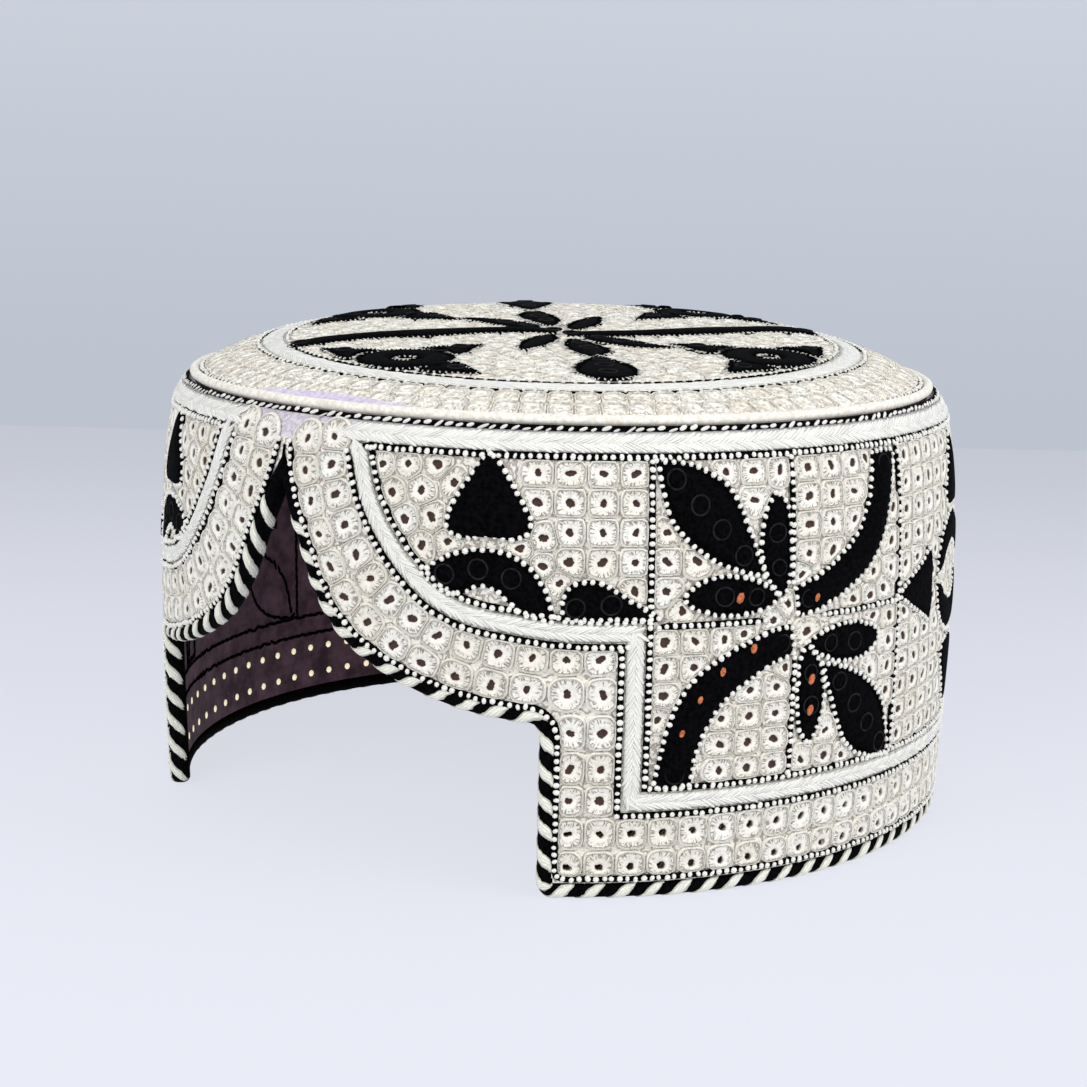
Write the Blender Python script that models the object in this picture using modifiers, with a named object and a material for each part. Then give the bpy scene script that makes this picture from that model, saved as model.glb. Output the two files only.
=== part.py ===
# Embroidered sindhi cap: a stiff round cap with an arched notch in the front,
# standing on its rim. Front of the cap towards -Y, +Z up, rim on z = 0.
# Lengths are in metres, and turns round the cap in degrees from the front.

import math

import bmesh
import bpy
from mathutils import Vector

for old in list(bpy.data.objects):
    bpy.data.objects.remove(old, do_unlink=True)

# The cloth, from outside in
WALL_THICKNESS = 0.0020
LINING_THICKNESS = 0.0010
GAP = 0.0003
TRIM_LIFT = 0.00035
BRAID_THICKNESS = 0.0009
LEAF_THICKNESS = 0.0008

# Outer face of the side wall: height above the rim, radius
WALL_OUTLINE = (
    (0.0000, 0.0900),
    (0.0190, 0.0908),
    (0.0420, 0.0913),
    (0.0620, 0.0911),
    (0.0800, 0.0901),
    (0.0903, 0.0882),
    (0.0939, 0.0864),
)
WALL_BOTTOM = 0.0033
LINING_TOP = 0.0925
METRES_PER_DEGREE = math.radians(0.0905)

# Crown: a stiff quilted disc that drops at its edge and leans up to the back
CROWN_EDGE_RADIUS = 0.0831
CROWN_BASE = 0.0944
CROWN_RISE = 0.0103
CROWN_FULL_RADIUS = 0.0856
CROWN_SQUARENESS = 6.4
CROWN_LEAN = 0.0049
CROWN_LEAN_FADE = 5
CROWN_TURN = math.radians(38.5)
PIPING_RING_RADIUS = 0.0845
PIPING_HEIGHT = 0.0955
PIPING_RADIUS = 0.0011
CROWN_BRAID = (0.0642, 0.0690)
CROWN_LINING_RADIUS = 0.0805
CROWN_LINING_GAP = 0.0009

# Half of the front opening: turn from the front, height of the cloth's edge
NOTCH_EDGE = (
    (0.0, 0.0805),
    (1.3, 0.0752),
    (3.2, 0.0692),
    (5.8, 0.0600),
    (9.6, 0.0516),
    (14.5, 0.0460),
    (21.0, 0.0413),
    (28.0, 0.0380),
    (34.5, 0.0364),
)
NOTCH_SIDE = 36.9
STEP_CORNER_RADIUS = 0.0025
FOOT_CORNER_RADIUS = 0.0032
BINDING_WIDTH = 0.0030
BINDING_PROUD = 0.00035
# Section of the folded strip: share of the way from the edge to the cloth,
# lift off the wall's outer face
FOLD = (
    (0.00, -0.0007),
    (0.30, BINDING_PROUD),
    (1.00, BINDING_PROUD - 0.0002),
    (1.00, -0.0034),
    (0.30, -0.0037),
    (0.00, -0.0026),
)

# Two rows of pierced eyelets above the rim
EYELET_ROWS = (0.0068, 0.0138)
EYELETS_PER_ROW = 26
EYELET_START = 41.5
EYELET_HALF_WIDTH = 0.0010
EYELET_HALF_HEIGHT = 0.0012

# White braid that frames the side panels: turn, height of its middle
PANEL_BRAID_PATH = (
    (11.9, 0.0892),
    (12.6, 0.0868),
    (14.0, 0.0800),
    (16.2, 0.0735),
    (19.2, 0.0672),
    (23.0, 0.0615),
    (27.5, 0.0580),
    (33.0, 0.0564),
    (40.0, 0.0551),
)
PANEL_BRAID_CORNER = (48.5, 0.0549)
PANEL_BRAID_FOOT = 0.0203
BRAID_HALF_WIDTH = 0.0018
TOP_BRAID_HEIGHTS = (0.0901, 0.0932)
TOP_BRAID_START = 10.3

WALL_STEPS = 48
LINING_STEPS = 36
RING_STEPS = 48
MERGE = 0.00001

# How far the cutters reach past the cloth: below the rim, and lifts off the outer face
CUT_BELOW = 0.01
NOTCH_CUT_LIFTS = (-0.030, -0.0045, 0.0010, 0.045)
PIN_LIFTS = (-0.007, 0.003)

parts = bpy.data.collections.new("sindhi_cap")
guides = bpy.data.collections.new("cutters")
bpy.context.scene.collection.children.link(parts)
bpy.context.scene.collection.children.link(guides)


def fabric(name, color, roughness):
    material = bpy.data.materials.new(name)
    material.use_nodes = True
    shader = material.node_tree.nodes["Principled BSDF"]
    shader.inputs["Base Color"].default_value = (*color, 1.0)
    shader.inputs["Roughness"].default_value = roughness
    shader.inputs["Metallic"].default_value = 0.0
    return material


CREAM = fabric("cream_thread", (0.76, 0.72, 0.63), 0.75)
WHITE = fabric("white_braid", (0.84, 0.86, 0.85), 0.6)
BLACK = fabric("black_thread", (0.012, 0.012, 0.015), 0.8)
STRIPED = fabric("striped_binding", (0.32, 0.32, 0.30), 0.7)
PURPLE = fabric("purple_lining", (0.075, 0.05, 0.065), 0.85)


def finish(name, mesh, material, thickness=0.0, offset=1.0):
    """Link a mesh as one piece of the cap, thickened if it is an open sheet."""
    piece = bpy.data.objects.new(name, mesh)
    parts.objects.link(piece)
    mesh.materials.clear()
    mesh.materials.append(material)
    if thickness:
        solid = piece.modifiers.new("Thickness", "SOLIDIFY")
        solid.thickness = thickness
        solid.offset = offset
        solid.use_even_offset = True
    mesh.shade_smooth()
    mesh.set_sharp_from_angle(angle=math.radians(35))
    return piece


def through(table, at):
    """Smooth height-to-value curve through the rows of a two-column table."""
    last = len(table) - 1
    k = 0
    while k < last - 1 and at > table[k + 1][0]:
        k += 1

    def slope(i):
        a, b = table[max(i - 1, 0)], table[min(i + 1, last)]
        return (b[1] - a[1]) / (b[0] - a[0])

    (x0, y0), (x1, y1) = table[k], table[k + 1]
    span = x1 - x0
    t = min(max((at - x0) / span, 0.0), 1.0)
    return (
        y0 * (1 + 2 * t) * (1 - t) ** 2
        + y1 * t * t * (3 - 2 * t)
        + span * t * (1 - t) * ((1 - t) * slope(k) - t * slope(k + 1))
    )


def wall_radius(height):
    return through(WALL_OUTLINE, max(height, 0.0))


def on_wall(point, lift):
    """Place (distance round the cap, height) at a lift off the wall's outer face."""
    turn = math.radians(point[0] / METRES_PER_DEGREE)
    radius = wall_radius(point[1]) + lift
    return Vector((radius * math.sin(turn), -radius * math.cos(turn), point[1]))


def crown_height(x, y):
    share = min(math.hypot(x, y) / CROWN_FULL_RADIUS, 1.0)
    back = -x * math.sin(CROWN_TURN) + y * math.cos(CROWN_TURN)
    lean = CROWN_LEAN * back / CROWN_FULL_RADIUS * (1 - share**CROWN_LEAN_FADE)
    return CROWN_BASE + CROWN_RISE * (1 - share**CROWN_SQUARENESS) + lean


def on_crown(point, lift):
    """Place a point of the crown's own plan, which is turned on the cap."""
    x = point[0] * math.cos(CROWN_TURN) - point[1] * math.sin(CROWN_TURN)
    y = point[0] * math.sin(CROWN_TURN) + point[1] * math.cos(CROWN_TURN)
    return Vector((x, y, crown_height(x, y) + lift))


def at_turn(turn, height):
    return (turn * METRES_PER_DEGREE, height)


def mitred(path, offset):
    """Move a flat path sideways to its left, keeping its corners square."""
    moved = []
    for i, here in enumerate(path):
        ends = (path[i - 1], path[(i + 1) % len(path)])
        sides = []
        for a, b in ((ends[0], here), (here, ends[1])):
            x, y = b[0] - a[0], b[1] - a[1]
            length = math.hypot(x, y)
            sides.append((-y / length, x / length))
        if i == 0:
            sides[0] = sides[1]
        if i == len(path) - 1:
            sides[1] = sides[0]
        x, y = sides[0][0] + sides[1][0], sides[0][1] + sides[1][1]
        scale = 2 * offset / (x * x + y * y)
        moved.append((here[0] + x * scale, here[1] + y * scale))
    return moved


def rounded(corner, before, after, radius, steps):
    """Arc that replaces a right-angled corner, from the side of before to after."""
    arc = []
    for i in range(steps + 1):
        a = math.pi / 2 * i / steps
        arc.append(
            (
                corner[0]
                + radius * (before[0] * (1 - math.sin(a)) + after[0] * (1 - math.cos(a))),
                corner[1]
                + radius * (before[1] * (1 - math.sin(a)) + after[1] * (1 - math.cos(a))),
            )
        )
    return arc


def sheet(name, strips, place, lift, thickness, material, loop=False):
    """Piece laid on the cap: strips are rows of flat points, side by side."""
    shape = bmesh.new()
    for rows in strips:
        made = [[shape.verts.new(place(p, lift)) for p in row] for row in rows]
        if loop:
            made.append(made[0])
        for low, high in zip(made, made[1:]):
            for i in range(len(low) - 1):
                shape.faces.new((low[i], low[i + 1], high[i + 1], high[i]))
    bmesh.ops.remove_doubles(shape, verts=shape.verts, dist=MERGE)
    bmesh.ops.recalc_face_normals(shape, faces=shape.faces)
    shape.normal_update()
    first = strips[0][0][0]
    out = place(first, lift + 0.01) - place(first, lift)
    shape.faces.ensure_lookup_table()
    if shape.faces[0].normal.dot(out) < 0:
        bmesh.ops.reverse_faces(shape, faces=shape.faces)
    mesh = bpy.data.meshes.new(name)
    shape.to_mesh(mesh)
    shape.free()
    return finish(name, mesh, material, thickness)


def loft(name, sections, closed):
    """Mesh skinned over sections of equal count, closed to a ring or capped."""
    shape = bmesh.new()
    rings = [[shape.verts.new(p) for p in section] for section in sections]
    if closed:
        rings.append(rings[0])
    count = len(rings[0])
    for low, high in zip(rings, rings[1:]):
        for i in range(count):
            j = (i + 1) % count
            shape.faces.new((low[i], low[j], high[j], high[i]))
    if not closed:
        caps = [shape.faces.new(rings[0]), shape.faces.new(rings[-1])]
        bmesh.ops.triangulate(shape, faces=caps)
    bmesh.ops.recalc_face_normals(shape, faces=shape.faces)
    if shape.calc_volume(signed=True) < 0:
        bmesh.ops.reverse_faces(shape, faces=shape.faces)
    mesh = bpy.data.meshes.new(name)
    shape.to_mesh(mesh)
    shape.free()
    return mesh


def turned(name, profile, steps, ring):
    """Mesh of a profile of (radius, height) points, spun by a Screw modifier."""
    mesh = bpy.data.meshes.new(name)
    count = len(profile)
    edges = [(i, (i + 1) % count) for i in range(count if ring else count - 1)]
    mesh.from_pydata([(r, 0.0, z) for r, z in profile], edges, [])
    spun = bpy.data.objects.new(name, mesh)
    parts.objects.link(spun)
    screw = spun.modifiers.new("Turn", "SCREW")
    screw.steps = screw.render_steps = steps
    screw.use_merge_vertices = True
    screw.merge_threshold = MERGE
    graph = bpy.context.evaluated_depsgraph_get()
    result = bpy.data.meshes.new_from_object(spun.evaluated_get(graph))
    bpy.data.objects.remove(spun, do_unlink=True)
    bpy.data.meshes.remove(mesh)
    result.name = name
    return result


def cut(piece, cutter):
    boolean = piece.modifiers.new("Cut " + cutter.name, "BOOLEAN")
    boolean.operation = "DIFFERENCE"
    boolean.solver = "EXACT"
    boolean.object = cutter


def as_cutter(name, mesh):
    cutter = bpy.data.objects.new(name, mesh)
    guides.objects.link(cutter)
    cutter.hide_render = True
    cutter.display_type = "WIRE"
    return cutter


# The opening's edge on one side, from its peak to the rim, in flat distances
side = NOTCH_SIDE * METRES_PER_DEGREE
arch = []
for start, end in zip(NOTCH_EDGE, NOTCH_EDGE[1:]):
    for half in (0.0, 0.5):
        turn = start[0] + (end[0] - start[0]) * half
        arch.append(at_turn(turn, through(NOTCH_EDGE, turn)))
arch.append(at_turn(*NOTCH_EDGE[-1]))
step = (side, NOTCH_EDGE[-1][1])
arch = [p for p in arch if p[0] < side - STEP_CORNER_RADIUS]
arch += rounded(step, (-1, 0), (0, -1), STEP_CORNER_RADIUS, 3)
straight = [(side, h) for h in (0.027, 0.0205, 0.014, 0.008)]
foot = rounded((side, 0.0), (0, 1), (1, 0), FOOT_CORNER_RADIUS, 3)
half_edge = arch + straight + foot

# Cutter for the opening, wider than it by the binding
margin = BINDING_WIDTH + GAP
cloth_edge = mitred(
    [(-p[0], p[1]) for p in reversed(arch + straight)] + (arch + straight)[1:], margin
)
reach = cloth_edge[-1][0]
outline = [(-reach, -CUT_BELOW)] + cloth_edge + [(reach, -CUT_BELOW)]
notch_cutter = as_cutter(
    "notch_cutter",
    loft(
        "notch_cutter",
        [[on_wall(p, lift) for p in outline] for lift in NOTCH_CUT_LIFTS],
        closed=False,
    ),
)

# Cutter for the eyelets, one diamond-shaped pin for each
pins = bmesh.new()
pitch = (360 - 2 * EYELET_START) / (EYELETS_PER_ROW - 1)
for height in EYELET_ROWS:
    for k in range(EYELETS_PER_ROW):
        middle = at_turn(EYELET_START + k * pitch, height)
        corners = [
            (middle[0] + EYELET_HALF_WIDTH * x, middle[1] + EYELET_HALF_HEIGHT * y)
            for x, y in ((1, 0), (0, 1), (-1, 0), (0, -1))
        ]
        inner, outer = ([pins.verts.new(on_wall(p, lift)) for p in corners] for lift in PIN_LIFTS)
        pins.faces.new(inner)
        pins.faces.new(outer)
        for i in range(4):
            j = (i + 1) % 4
            pins.faces.new((inner[i], inner[j], outer[j], outer[i]))
bmesh.ops.recalc_face_normals(pins, faces=pins.faces)
pin_mesh = bpy.data.meshes.new("eyelet_pins")
pins.to_mesh(pin_mesh)
pins.free()
eyelet_pins = as_cutter("eyelet_pins", pin_mesh)

# Side wall and its lining: turned shells, cut by the opening and the eyelets
wall_heights = (0.0939, 0.0903, 0.0760, 0.0400, WALL_BOTTOM)
outer_face = [(wall_radius(h), h) for h in wall_heights]
inner_face = [(r - WALL_THICKNESS, h) for r, h in reversed(outer_face)]
side_wall = finish(
    "side_wall", turned("side_wall", outer_face + inner_face, WALL_STEPS, True), CREAM
)
lining_heights = (LINING_TOP, 0.0760, 0.0400, WALL_BOTTOM)
back_off = WALL_THICKNESS + GAP
outer_face = [(wall_radius(h) - back_off, h) for h in lining_heights]
inner_face = [(r - LINING_THICKNESS, h) for r, h in reversed(outer_face)]
lining = finish(
    "side_lining", turned("side_lining", outer_face + inner_face, LINING_STEPS, True), PURPLE
)
for piece in (side_wall, lining):
    cut(piece, notch_cutter)
    cut(piece, eyelet_pins)


def crown_sheet(name, radii, lift, thickness, steps, material, offset):
    """Turned sheet that follows the crown's dome."""
    profile = [(r, 0.0) for r in sorted(radii)]
    mesh = turned(name, profile, steps, False)
    for vertex in mesh.vertices:
        vertex.co.z = crown_height(vertex.co.x, vertex.co.y) + lift
    shape = bmesh.new()
    shape.from_mesh(mesh)
    shape.normal_update()
    shape.faces.ensure_lookup_table()
    if shape.faces[0].normal.z < 0:
        bmesh.ops.reverse_faces(shape, faces=shape.faces)
    shape.to_mesh(mesh)
    shape.free()
    return finish(name, mesh, material, thickness, offset)


crown_sheet(
    "crown", (0, 0.026, 0.050, 0.067, 0.0755, CROWN_EDGE_RADIUS),
    0.0, WALL_THICKNESS, WALL_STEPS, CREAM, -1.0,
)
crown_sheet(
    "crown_lining", (0, 0.026, 0.050, 0.067, 0.0755, CROWN_LINING_RADIUS),
    -WALL_THICKNESS - CROWN_LINING_GAP, LINING_THICKNESS, LINING_STEPS, PURPLE, -1.0,
)
crown_sheet(
    "crown_braid", CROWN_BRAID, TRIM_LIFT, BRAID_THICKNESS, WALL_STEPS, WHITE, 1.0
)
bpy.ops.mesh.primitive_torus_add(
    major_radius=PIPING_RING_RADIUS,
    minor_radius=PIPING_RADIUS,
    major_segments=RING_STEPS,
    minor_segments=5,
    location=(0, 0, PIPING_HEIGHT),
)
piping = bpy.context.object
piping.name = "crown_piping"
for owner in piping.users_collection:
    owner.objects.unlink(piping)
parts.objects.link(piping)
piping.data.materials.append(CREAM)
piping.data.shade_smooth()

# Binding: a folded strip round the rim and the opening, flat where it stands
rim_stop = (360 - NOTCH_SIDE) * METRES_PER_DEGREE - FOOT_CORNER_RADIUS
rim_start = side + FOOT_CORNER_RADIUS
rim_stations = 36
rim = [
    (rim_start + (rim_stop - rim_start) * k / rim_stations, 0.0)
    for k in range(1, rim_stations)
]
full_turn = 360 * METRES_PER_DEGREE
left_edge = [(full_turn - p[0], p[1]) for p in reversed(half_edge)]
edge = half_edge + rim + left_edge[:-1]
# The cloth side of the strip is measured with the peak between its two neighbours
around = [(edge[-1][0] - full_turn, edge[-1][1])] + edge + [(full_turn, edge[0][1])]
cloth_side = mitred(around, BINDING_WIDTH)[1:-1]
sections = []
for here, inside in zip(edge, cloth_side):
    sections.append(
        [
            on_wall(
                (
                    here[0] + (inside[0] - here[0]) * share,
                    here[1] + (inside[1] - here[1]) * share,
                ),
                lift,
            )
            for share, lift in FOLD
        ]
    )
finish("rim_binding", loft("rim_binding", sections, closed=True), STRIPED)


def band(path, half_width):
    """Rows of a strip of even width along a flat path."""
    left, right = mitred(path, half_width), mitred(path, -half_width)
    return [[a, b] for a, b in zip(left, right)]


# Braids: the frame of the side panels, and the one under the crown's seam
corner = at_turn(*PANEL_BRAID_CORNER)
frame_half = [at_turn(*row) for row in PANEL_BRAID_PATH]
frame_half += [corner, (corner[0], 0.0435), (corner[0], 0.0320)]
low_corner = (corner[0], PANEL_BRAID_FOOT)
low_count = 32
low_run = [
    (low_corner[0] + (full_turn - 2 * low_corner[0]) * k / low_count, PANEL_BRAID_FOOT)
    for k in range(low_count + 1)
]
frame_path = frame_half + low_run + [(full_turn - p[0], p[1]) for p in reversed(frame_half)]
sheet(
    "panel_braid", [band(frame_path, BRAID_HALF_WIDTH)], on_wall,
    TRIM_LIFT, BRAID_THICKNESS, WHITE,
)
top_count = 40
top_turns = [
    TOP_BRAID_START + (360 - 2 * TOP_BRAID_START) * k / top_count for k in range(top_count + 1)
]
sheet(
    "top_braid", [[[at_turn(t, h) for h in TOP_BRAID_HEIGHTS] for t in top_turns]], on_wall,
    TRIM_LIFT, BRAID_THICKNESS, WHITE,
)

# Black leaves. Width shares run from a leaf's root to its tip.
PETAL = (0.10, 0.75, 1.00, 0.82, 0.0)
BROAD = (0.10, 0.68, 1.00, 0.88, 0.30)
LONG_BAND = (0.45, 0.92, 1.00, 1.00, 0.92, 0.72)
DROP = (0.0, 0.48, 0.85, 1.00, 0.78)
CRESCENT = (0.0, 0.68, 1.00, 0.98, 0.70)
WEDGE = (0.0, 0.46, 0.82, 1.00)


def leaf(root, tip, width, bend, shares):
    """Rows of one leaf about a spine that bows to its left by bend."""
    x, y = tip[0] - root[0], tip[1] - root[1]
    length = math.hypot(x, y)
    middle = (
        root[0] + x / 2 - y / length * 2 * bend,
        root[1] + y / 2 + x / length * 2 * bend,
    )
    rows = []
    for i, share in enumerate(shares):
        t = i / (len(shares) - 1)
        here = [
            root[k] * (1 - t) ** 2 + middle[k] * 2 * t * (1 - t) + tip[k] * t * t
            for k in (0, 1)
        ]
        along = [
            2 * (1 - t) * (middle[k] - root[k]) + 2 * t * (tip[k] - middle[k]) for k in (0, 1)
        ]
        size = math.hypot(*along)
        half = width / 2 * share
        x, y = -along[1] / size * half, along[0] / size * half
        rows.append([(here[0] + x, here[1] + y), (here[0] - x, here[1] - y)])
    return rows


# One flower, about its middle: hub corner angles are either side of each leaf.
# Columns: hub angles, root, tip, width, bend, width shares. Each leaf is
# repeated at half a turn.
PANEL_FLOWER = (
    ((10, 70), (0.0042, 0.0038), (0.0262, 0.0312), 0.0068, -0.0058, LONG_BAND),
    ((70, 115), (-0.0021, 0.0066), (-0.0044, 0.0250), 0.0056, -0.0008, PETAL),
    ((115, 146), (-0.0086, 0.0104), (-0.0272, 0.0312), 0.0110, -0.0010, BROAD),
    ((146, 190), (-0.0058, 0.0040), (-0.0240, 0.0060), 0.0066, -0.0006, PETAL),
)
CROWN_FLOWER = (
    ((-25, 30), (0.0060, 0.0004), (0.0590, 0.0190), 0.0052, -0.0030, LONG_BAND),
    ((30, 95), (0.0034, 0.0080), (0.0085, 0.0240), 0.0058, 0.0004, PETAL),
    ((95, 130), (-0.0034, 0.0090), (-0.0066, 0.0310), 0.0080, 0.0008, PETAL),
    ((130, 155), (-0.0080, 0.0062), (-0.0230, 0.0128), 0.0058, -0.0014, PETAL),
)


def flower(middle, table, hub_radius, flip):
    """Strips of a whole flower joined at a small hub."""

    def put(point):
        return (middle[0] + flip * point[0], middle[1] + point[1])

    strips, hub = [], []
    for half_turn in (0, 180):
        sign = -1 if half_turn else 1
        for angles, root, tip, width, bend, shares in table:
            edge_points = [
                (
                    hub_radius * math.cos(math.radians(a + half_turn)),
                    hub_radius * math.sin(math.radians(a + half_turn)),
                )
                for a in reversed(angles)
            ]
            hub.append(edge_points[1])
            rows = leaf(
                (sign * root[0], sign * root[1]), (sign * tip[0], sign * tip[1]),
                width, bend, shares,
            )
            strips.append([[put(p) for p in row] for row in [edge_points] + rows])
    centre = put((0.0, 0.0))
    for a, b in zip(hub, hub[1:] + hub[:1]):
        strips.append([[put(a), put(b)], [centre, centre]])
    return strips


def leaf_piece(name, rows, place):
    sheet(name, [rows], place, TRIM_LIFT, LEAF_THICKNESS, BLACK)


# Front leaves beside the opening: name, root and tip as (turn, height), width,
# bend, width shares
FRONT_LEAVES = (
    ("heart", (29.6, 0.0885), (30.1, 0.0740), 0.0140, 0.0, WEDGE),
    ("crescent", (22.8, 0.0652), (36.3, 0.0590), 0.0066, 0.0050, CRESCENT),
    ("drop", (50.2, 0.0582), (41.0, 0.0607), 0.0070, -0.0006, DROP),
)
# Motif of the second side panel, about its middle: a ring of two crescents,
# with a heart above and below and a drop on either side
MOTIF_MIDDLE = (112.3, 0.0568)
MOTIF_LEAVES = (
    ("heart_top", (0.0, 0.0300), (0.0, 0.0165), 0.0150, 0.0, WEDGE),
    ("heart_low", (0.0, -0.0310), (0.0, -0.0170), 0.0150, 0.0, WEDGE),
    ("crescent_top", (-0.0115, 0.0012), (0.0115, 0.0012), 0.0058, 0.0080, CRESCENT),
    ("crescent_low", (0.0115, -0.0012), (-0.0115, -0.0012), 0.0058, 0.0080, CRESCENT),
    ("drop_front", (-0.0345, 0.0), (-0.0190, 0.0), 0.0130, 0.0, WEDGE),
    ("drop_back", (0.0345, 0.0), (0.0190, 0.0), 0.0130, 0.0, WEDGE),
)
# Flowers of the first and third side panels: turn, height of the hub
FLOWER_MIDDLES = (("front", (69.9, 0.0560)), ("back", (157.5, 0.0560)))

for side_name, flip in (("right", 1), ("left", -1)):
    for name, root, tip, width, bend, shares in FRONT_LEAVES:
        root, tip = at_turn(*root), at_turn(*tip)
        rows = leaf(
            (flip * root[0], root[1]), (flip * tip[0], tip[1]), width, flip * bend, shares
        )
        leaf_piece(f"{name}_{side_name}", rows, on_wall)
    middle = at_turn(*MOTIF_MIDDLE)
    for name, root, tip, width, bend, shares in MOTIF_LEAVES:
        ends = [(flip * (middle[0] + p[0]), middle[1] + p[1]) for p in (root, tip)]
        leaf_piece(
            f"motif_{name}_{side_name}", leaf(*ends, width, flip * bend, shares), on_wall
        )
    for name, (turn, height) in FLOWER_MIDDLES:
        middle = at_turn(flip * turn, height)
        sheet(
            f"flower_{name}_{side_name}", flower(middle, PANEL_FLOWER, 0.0022, flip), on_wall,
            TRIM_LIFT, LEAF_THICKNESS, BLACK,
        )

# Crown: a flower in the middle, two drops, and four rings with three wedges each
sheet(
    "crown_flower", flower((0.0, 0.0), CROWN_FLOWER, 0.0036, 1), on_crown,
    TRIM_LIFT, LEAF_THICKNESS, BLACK,
)
for name, sign in (("front", -1), ("back", 1)):
    rows = leaf((-sign * 0.0080, sign * 0.036), (-sign * 0.0100, sign * 0.0590), 0.0115, 0.0, DROP)
    leaf_piece(f"crown_drop_{name}", rows, on_crown)
RING_DISTANCE = 0.0530
RING_RADII = (0.0048, 0.0092)
RING_DIRECTIONS = (-31, 51, 149, 231)
RING_SIDES = 12
# About a ring, across and outwards from the crown's middle: name, root, tip, width
RING_WEDGES = (
    ("inner", (0.0, -0.0232), (0.0, -0.0115), 0.0100),
    ("left", (-0.0215, 0.0020), (-0.0110, 0.0020), 0.0090),
    ("right", (0.0215, 0.0020), (0.0110, 0.0020), 0.0090),
)
for number, direction in enumerate(RING_DIRECTIONS, start=1):
    out = (math.cos(math.radians(direction)), math.sin(math.radians(direction)))

    def about_ring(point):
        away = RING_DISTANCE + point[1]
        return (out[0] * away + out[1] * point[0], out[1] * away - out[0] * point[0])

    rows = []
    for k in range(RING_SIDES):
        a = 2 * math.pi * k / RING_SIDES
        rows.append([about_ring((r * math.cos(a), r * math.sin(a))) for r in RING_RADII])
    sheet(
        f"crown_ring_{number}", [rows], on_crown, TRIM_LIFT, LEAF_THICKNESS, BLACK, loop=True
    )
    for name, root, tip, width in RING_WEDGES:
        rows = leaf(about_ring(root), about_ring(tip), width, 0.0, WEDGE)
        leaf_piece(f"crown_wedge_{number}_{name}", rows, on_crown)
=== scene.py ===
import math

import bpy
import numpy as np
from mathutils import Matrix, Vector, kdtree


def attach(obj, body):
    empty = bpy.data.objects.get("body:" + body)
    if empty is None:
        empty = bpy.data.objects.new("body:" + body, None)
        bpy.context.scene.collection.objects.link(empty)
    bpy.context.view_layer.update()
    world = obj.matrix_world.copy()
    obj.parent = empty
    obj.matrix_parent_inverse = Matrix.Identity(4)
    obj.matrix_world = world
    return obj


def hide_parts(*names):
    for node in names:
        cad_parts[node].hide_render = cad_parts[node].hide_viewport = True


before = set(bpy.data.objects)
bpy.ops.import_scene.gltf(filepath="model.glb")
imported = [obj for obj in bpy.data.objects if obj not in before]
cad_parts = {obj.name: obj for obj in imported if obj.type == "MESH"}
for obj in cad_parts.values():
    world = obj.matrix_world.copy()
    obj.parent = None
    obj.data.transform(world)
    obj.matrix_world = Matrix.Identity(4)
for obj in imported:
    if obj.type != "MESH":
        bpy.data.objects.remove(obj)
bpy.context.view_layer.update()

# Sindhi cap: needle lace, bead stitches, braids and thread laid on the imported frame.
# Everything on the wall is drawn flat, as (distance round the cap, height, lift), and
# everything on the crown as (x, y, lift) in the crown's own plan, then wrapped on.

mm = 0.001
chance = np.random.default_rng(11)
bpy.ops.object.select_all(action="DESELECT")

cap = {
    "flatRadius": 0.0905,          # the wall is drawn flat at this radius
    "outline": (                   # height above the rim, radius of the cloth's outer face
        (0.0000, 0.0900), (0.0190, 0.0908), (0.0420, 0.0913), (0.0620, 0.0911),
        (0.0800, 0.0901), (0.0903, 0.0882), (0.0939, 0.0864),
    ),
    "seamSlope": -0.55,            # how the wall runs on above its last row
    "crownBase": 0.0944, "crownRise": 0.0103, "crownFull": 0.0856, "crownSquareness": 6.4,
    "crownLean": 0.0049, "crownLeanFade": 5, "crownTurn": math.radians(38.5),
}


def curveThrough(table, at):
    last = len(table) - 1
    k = 0
    while k < last - 1 and at > table[k + 1][0]:
        k += 1

    def slope(i):
        a, b = table[max(i - 1, 0)], table[min(i + 1, last)]
        return (b[1] - a[1]) / (b[0] - a[0])

    (x0, y0), (x1, y1) = table[k], table[k + 1]
    span = x1 - x0
    t = min(max((at - x0) / span, 0.0), 1.0)
    return (y0 * (1 + 2 * t) * (1 - t) ** 2 + y1 * t * t * (3 - 2 * t)
            + span * t * (1 - t) * ((1 - t) * slope(k) - t * slope(k + 1)))


wallHeights = np.linspace(0.0, cap["outline"][-1][0], 300)
wallRadii = np.array([curveThrough(cap["outline"], h) for h in wallHeights])


def onWall(points):
    turn = points[:, 0] / cap["flatRadius"]
    height = points[:, 1]
    radius = np.interp(height, wallHeights, wallRadii) + points[:, 2]
    radius += np.maximum(height - wallHeights[-1], 0.0) * cap["seamSlope"]
    return np.stack((radius * np.sin(turn), -radius * np.cos(turn), height), 1)


def crownHeight(x, y):
    share = np.minimum(np.hypot(x, y) / cap["crownFull"], 1.0)
    back = -x * math.sin(cap["crownTurn"]) + y * math.cos(cap["crownTurn"])
    lean = cap["crownLean"] * back / cap["crownFull"] * (1 - share ** cap["crownLeanFade"])
    return cap["crownBase"] + cap["crownRise"] * (1 - share ** cap["crownSquareness"]) + lean


def onCrown(points):
    c, s = math.cos(cap["crownTurn"]), math.sin(cap["crownTurn"])
    x = points[:, 0] * c - points[:, 1] * s
    y = points[:, 0] * s + points[:, 1] * c
    step = 0.0004
    slopeX = (crownHeight(x + step, y) - crownHeight(x - step, y)) / (2 * step)
    slopeY = (crownHeight(x, y + step) - crownHeight(x, y - step)) / (2 * step)
    size = np.sqrt(slopeX**2 + slopeY**2 + 1)
    up = points[:, 2] / size
    return np.stack((x - slopeX * up, y - slopeY * up, crownHeight(x, y) + up), 1)


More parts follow.
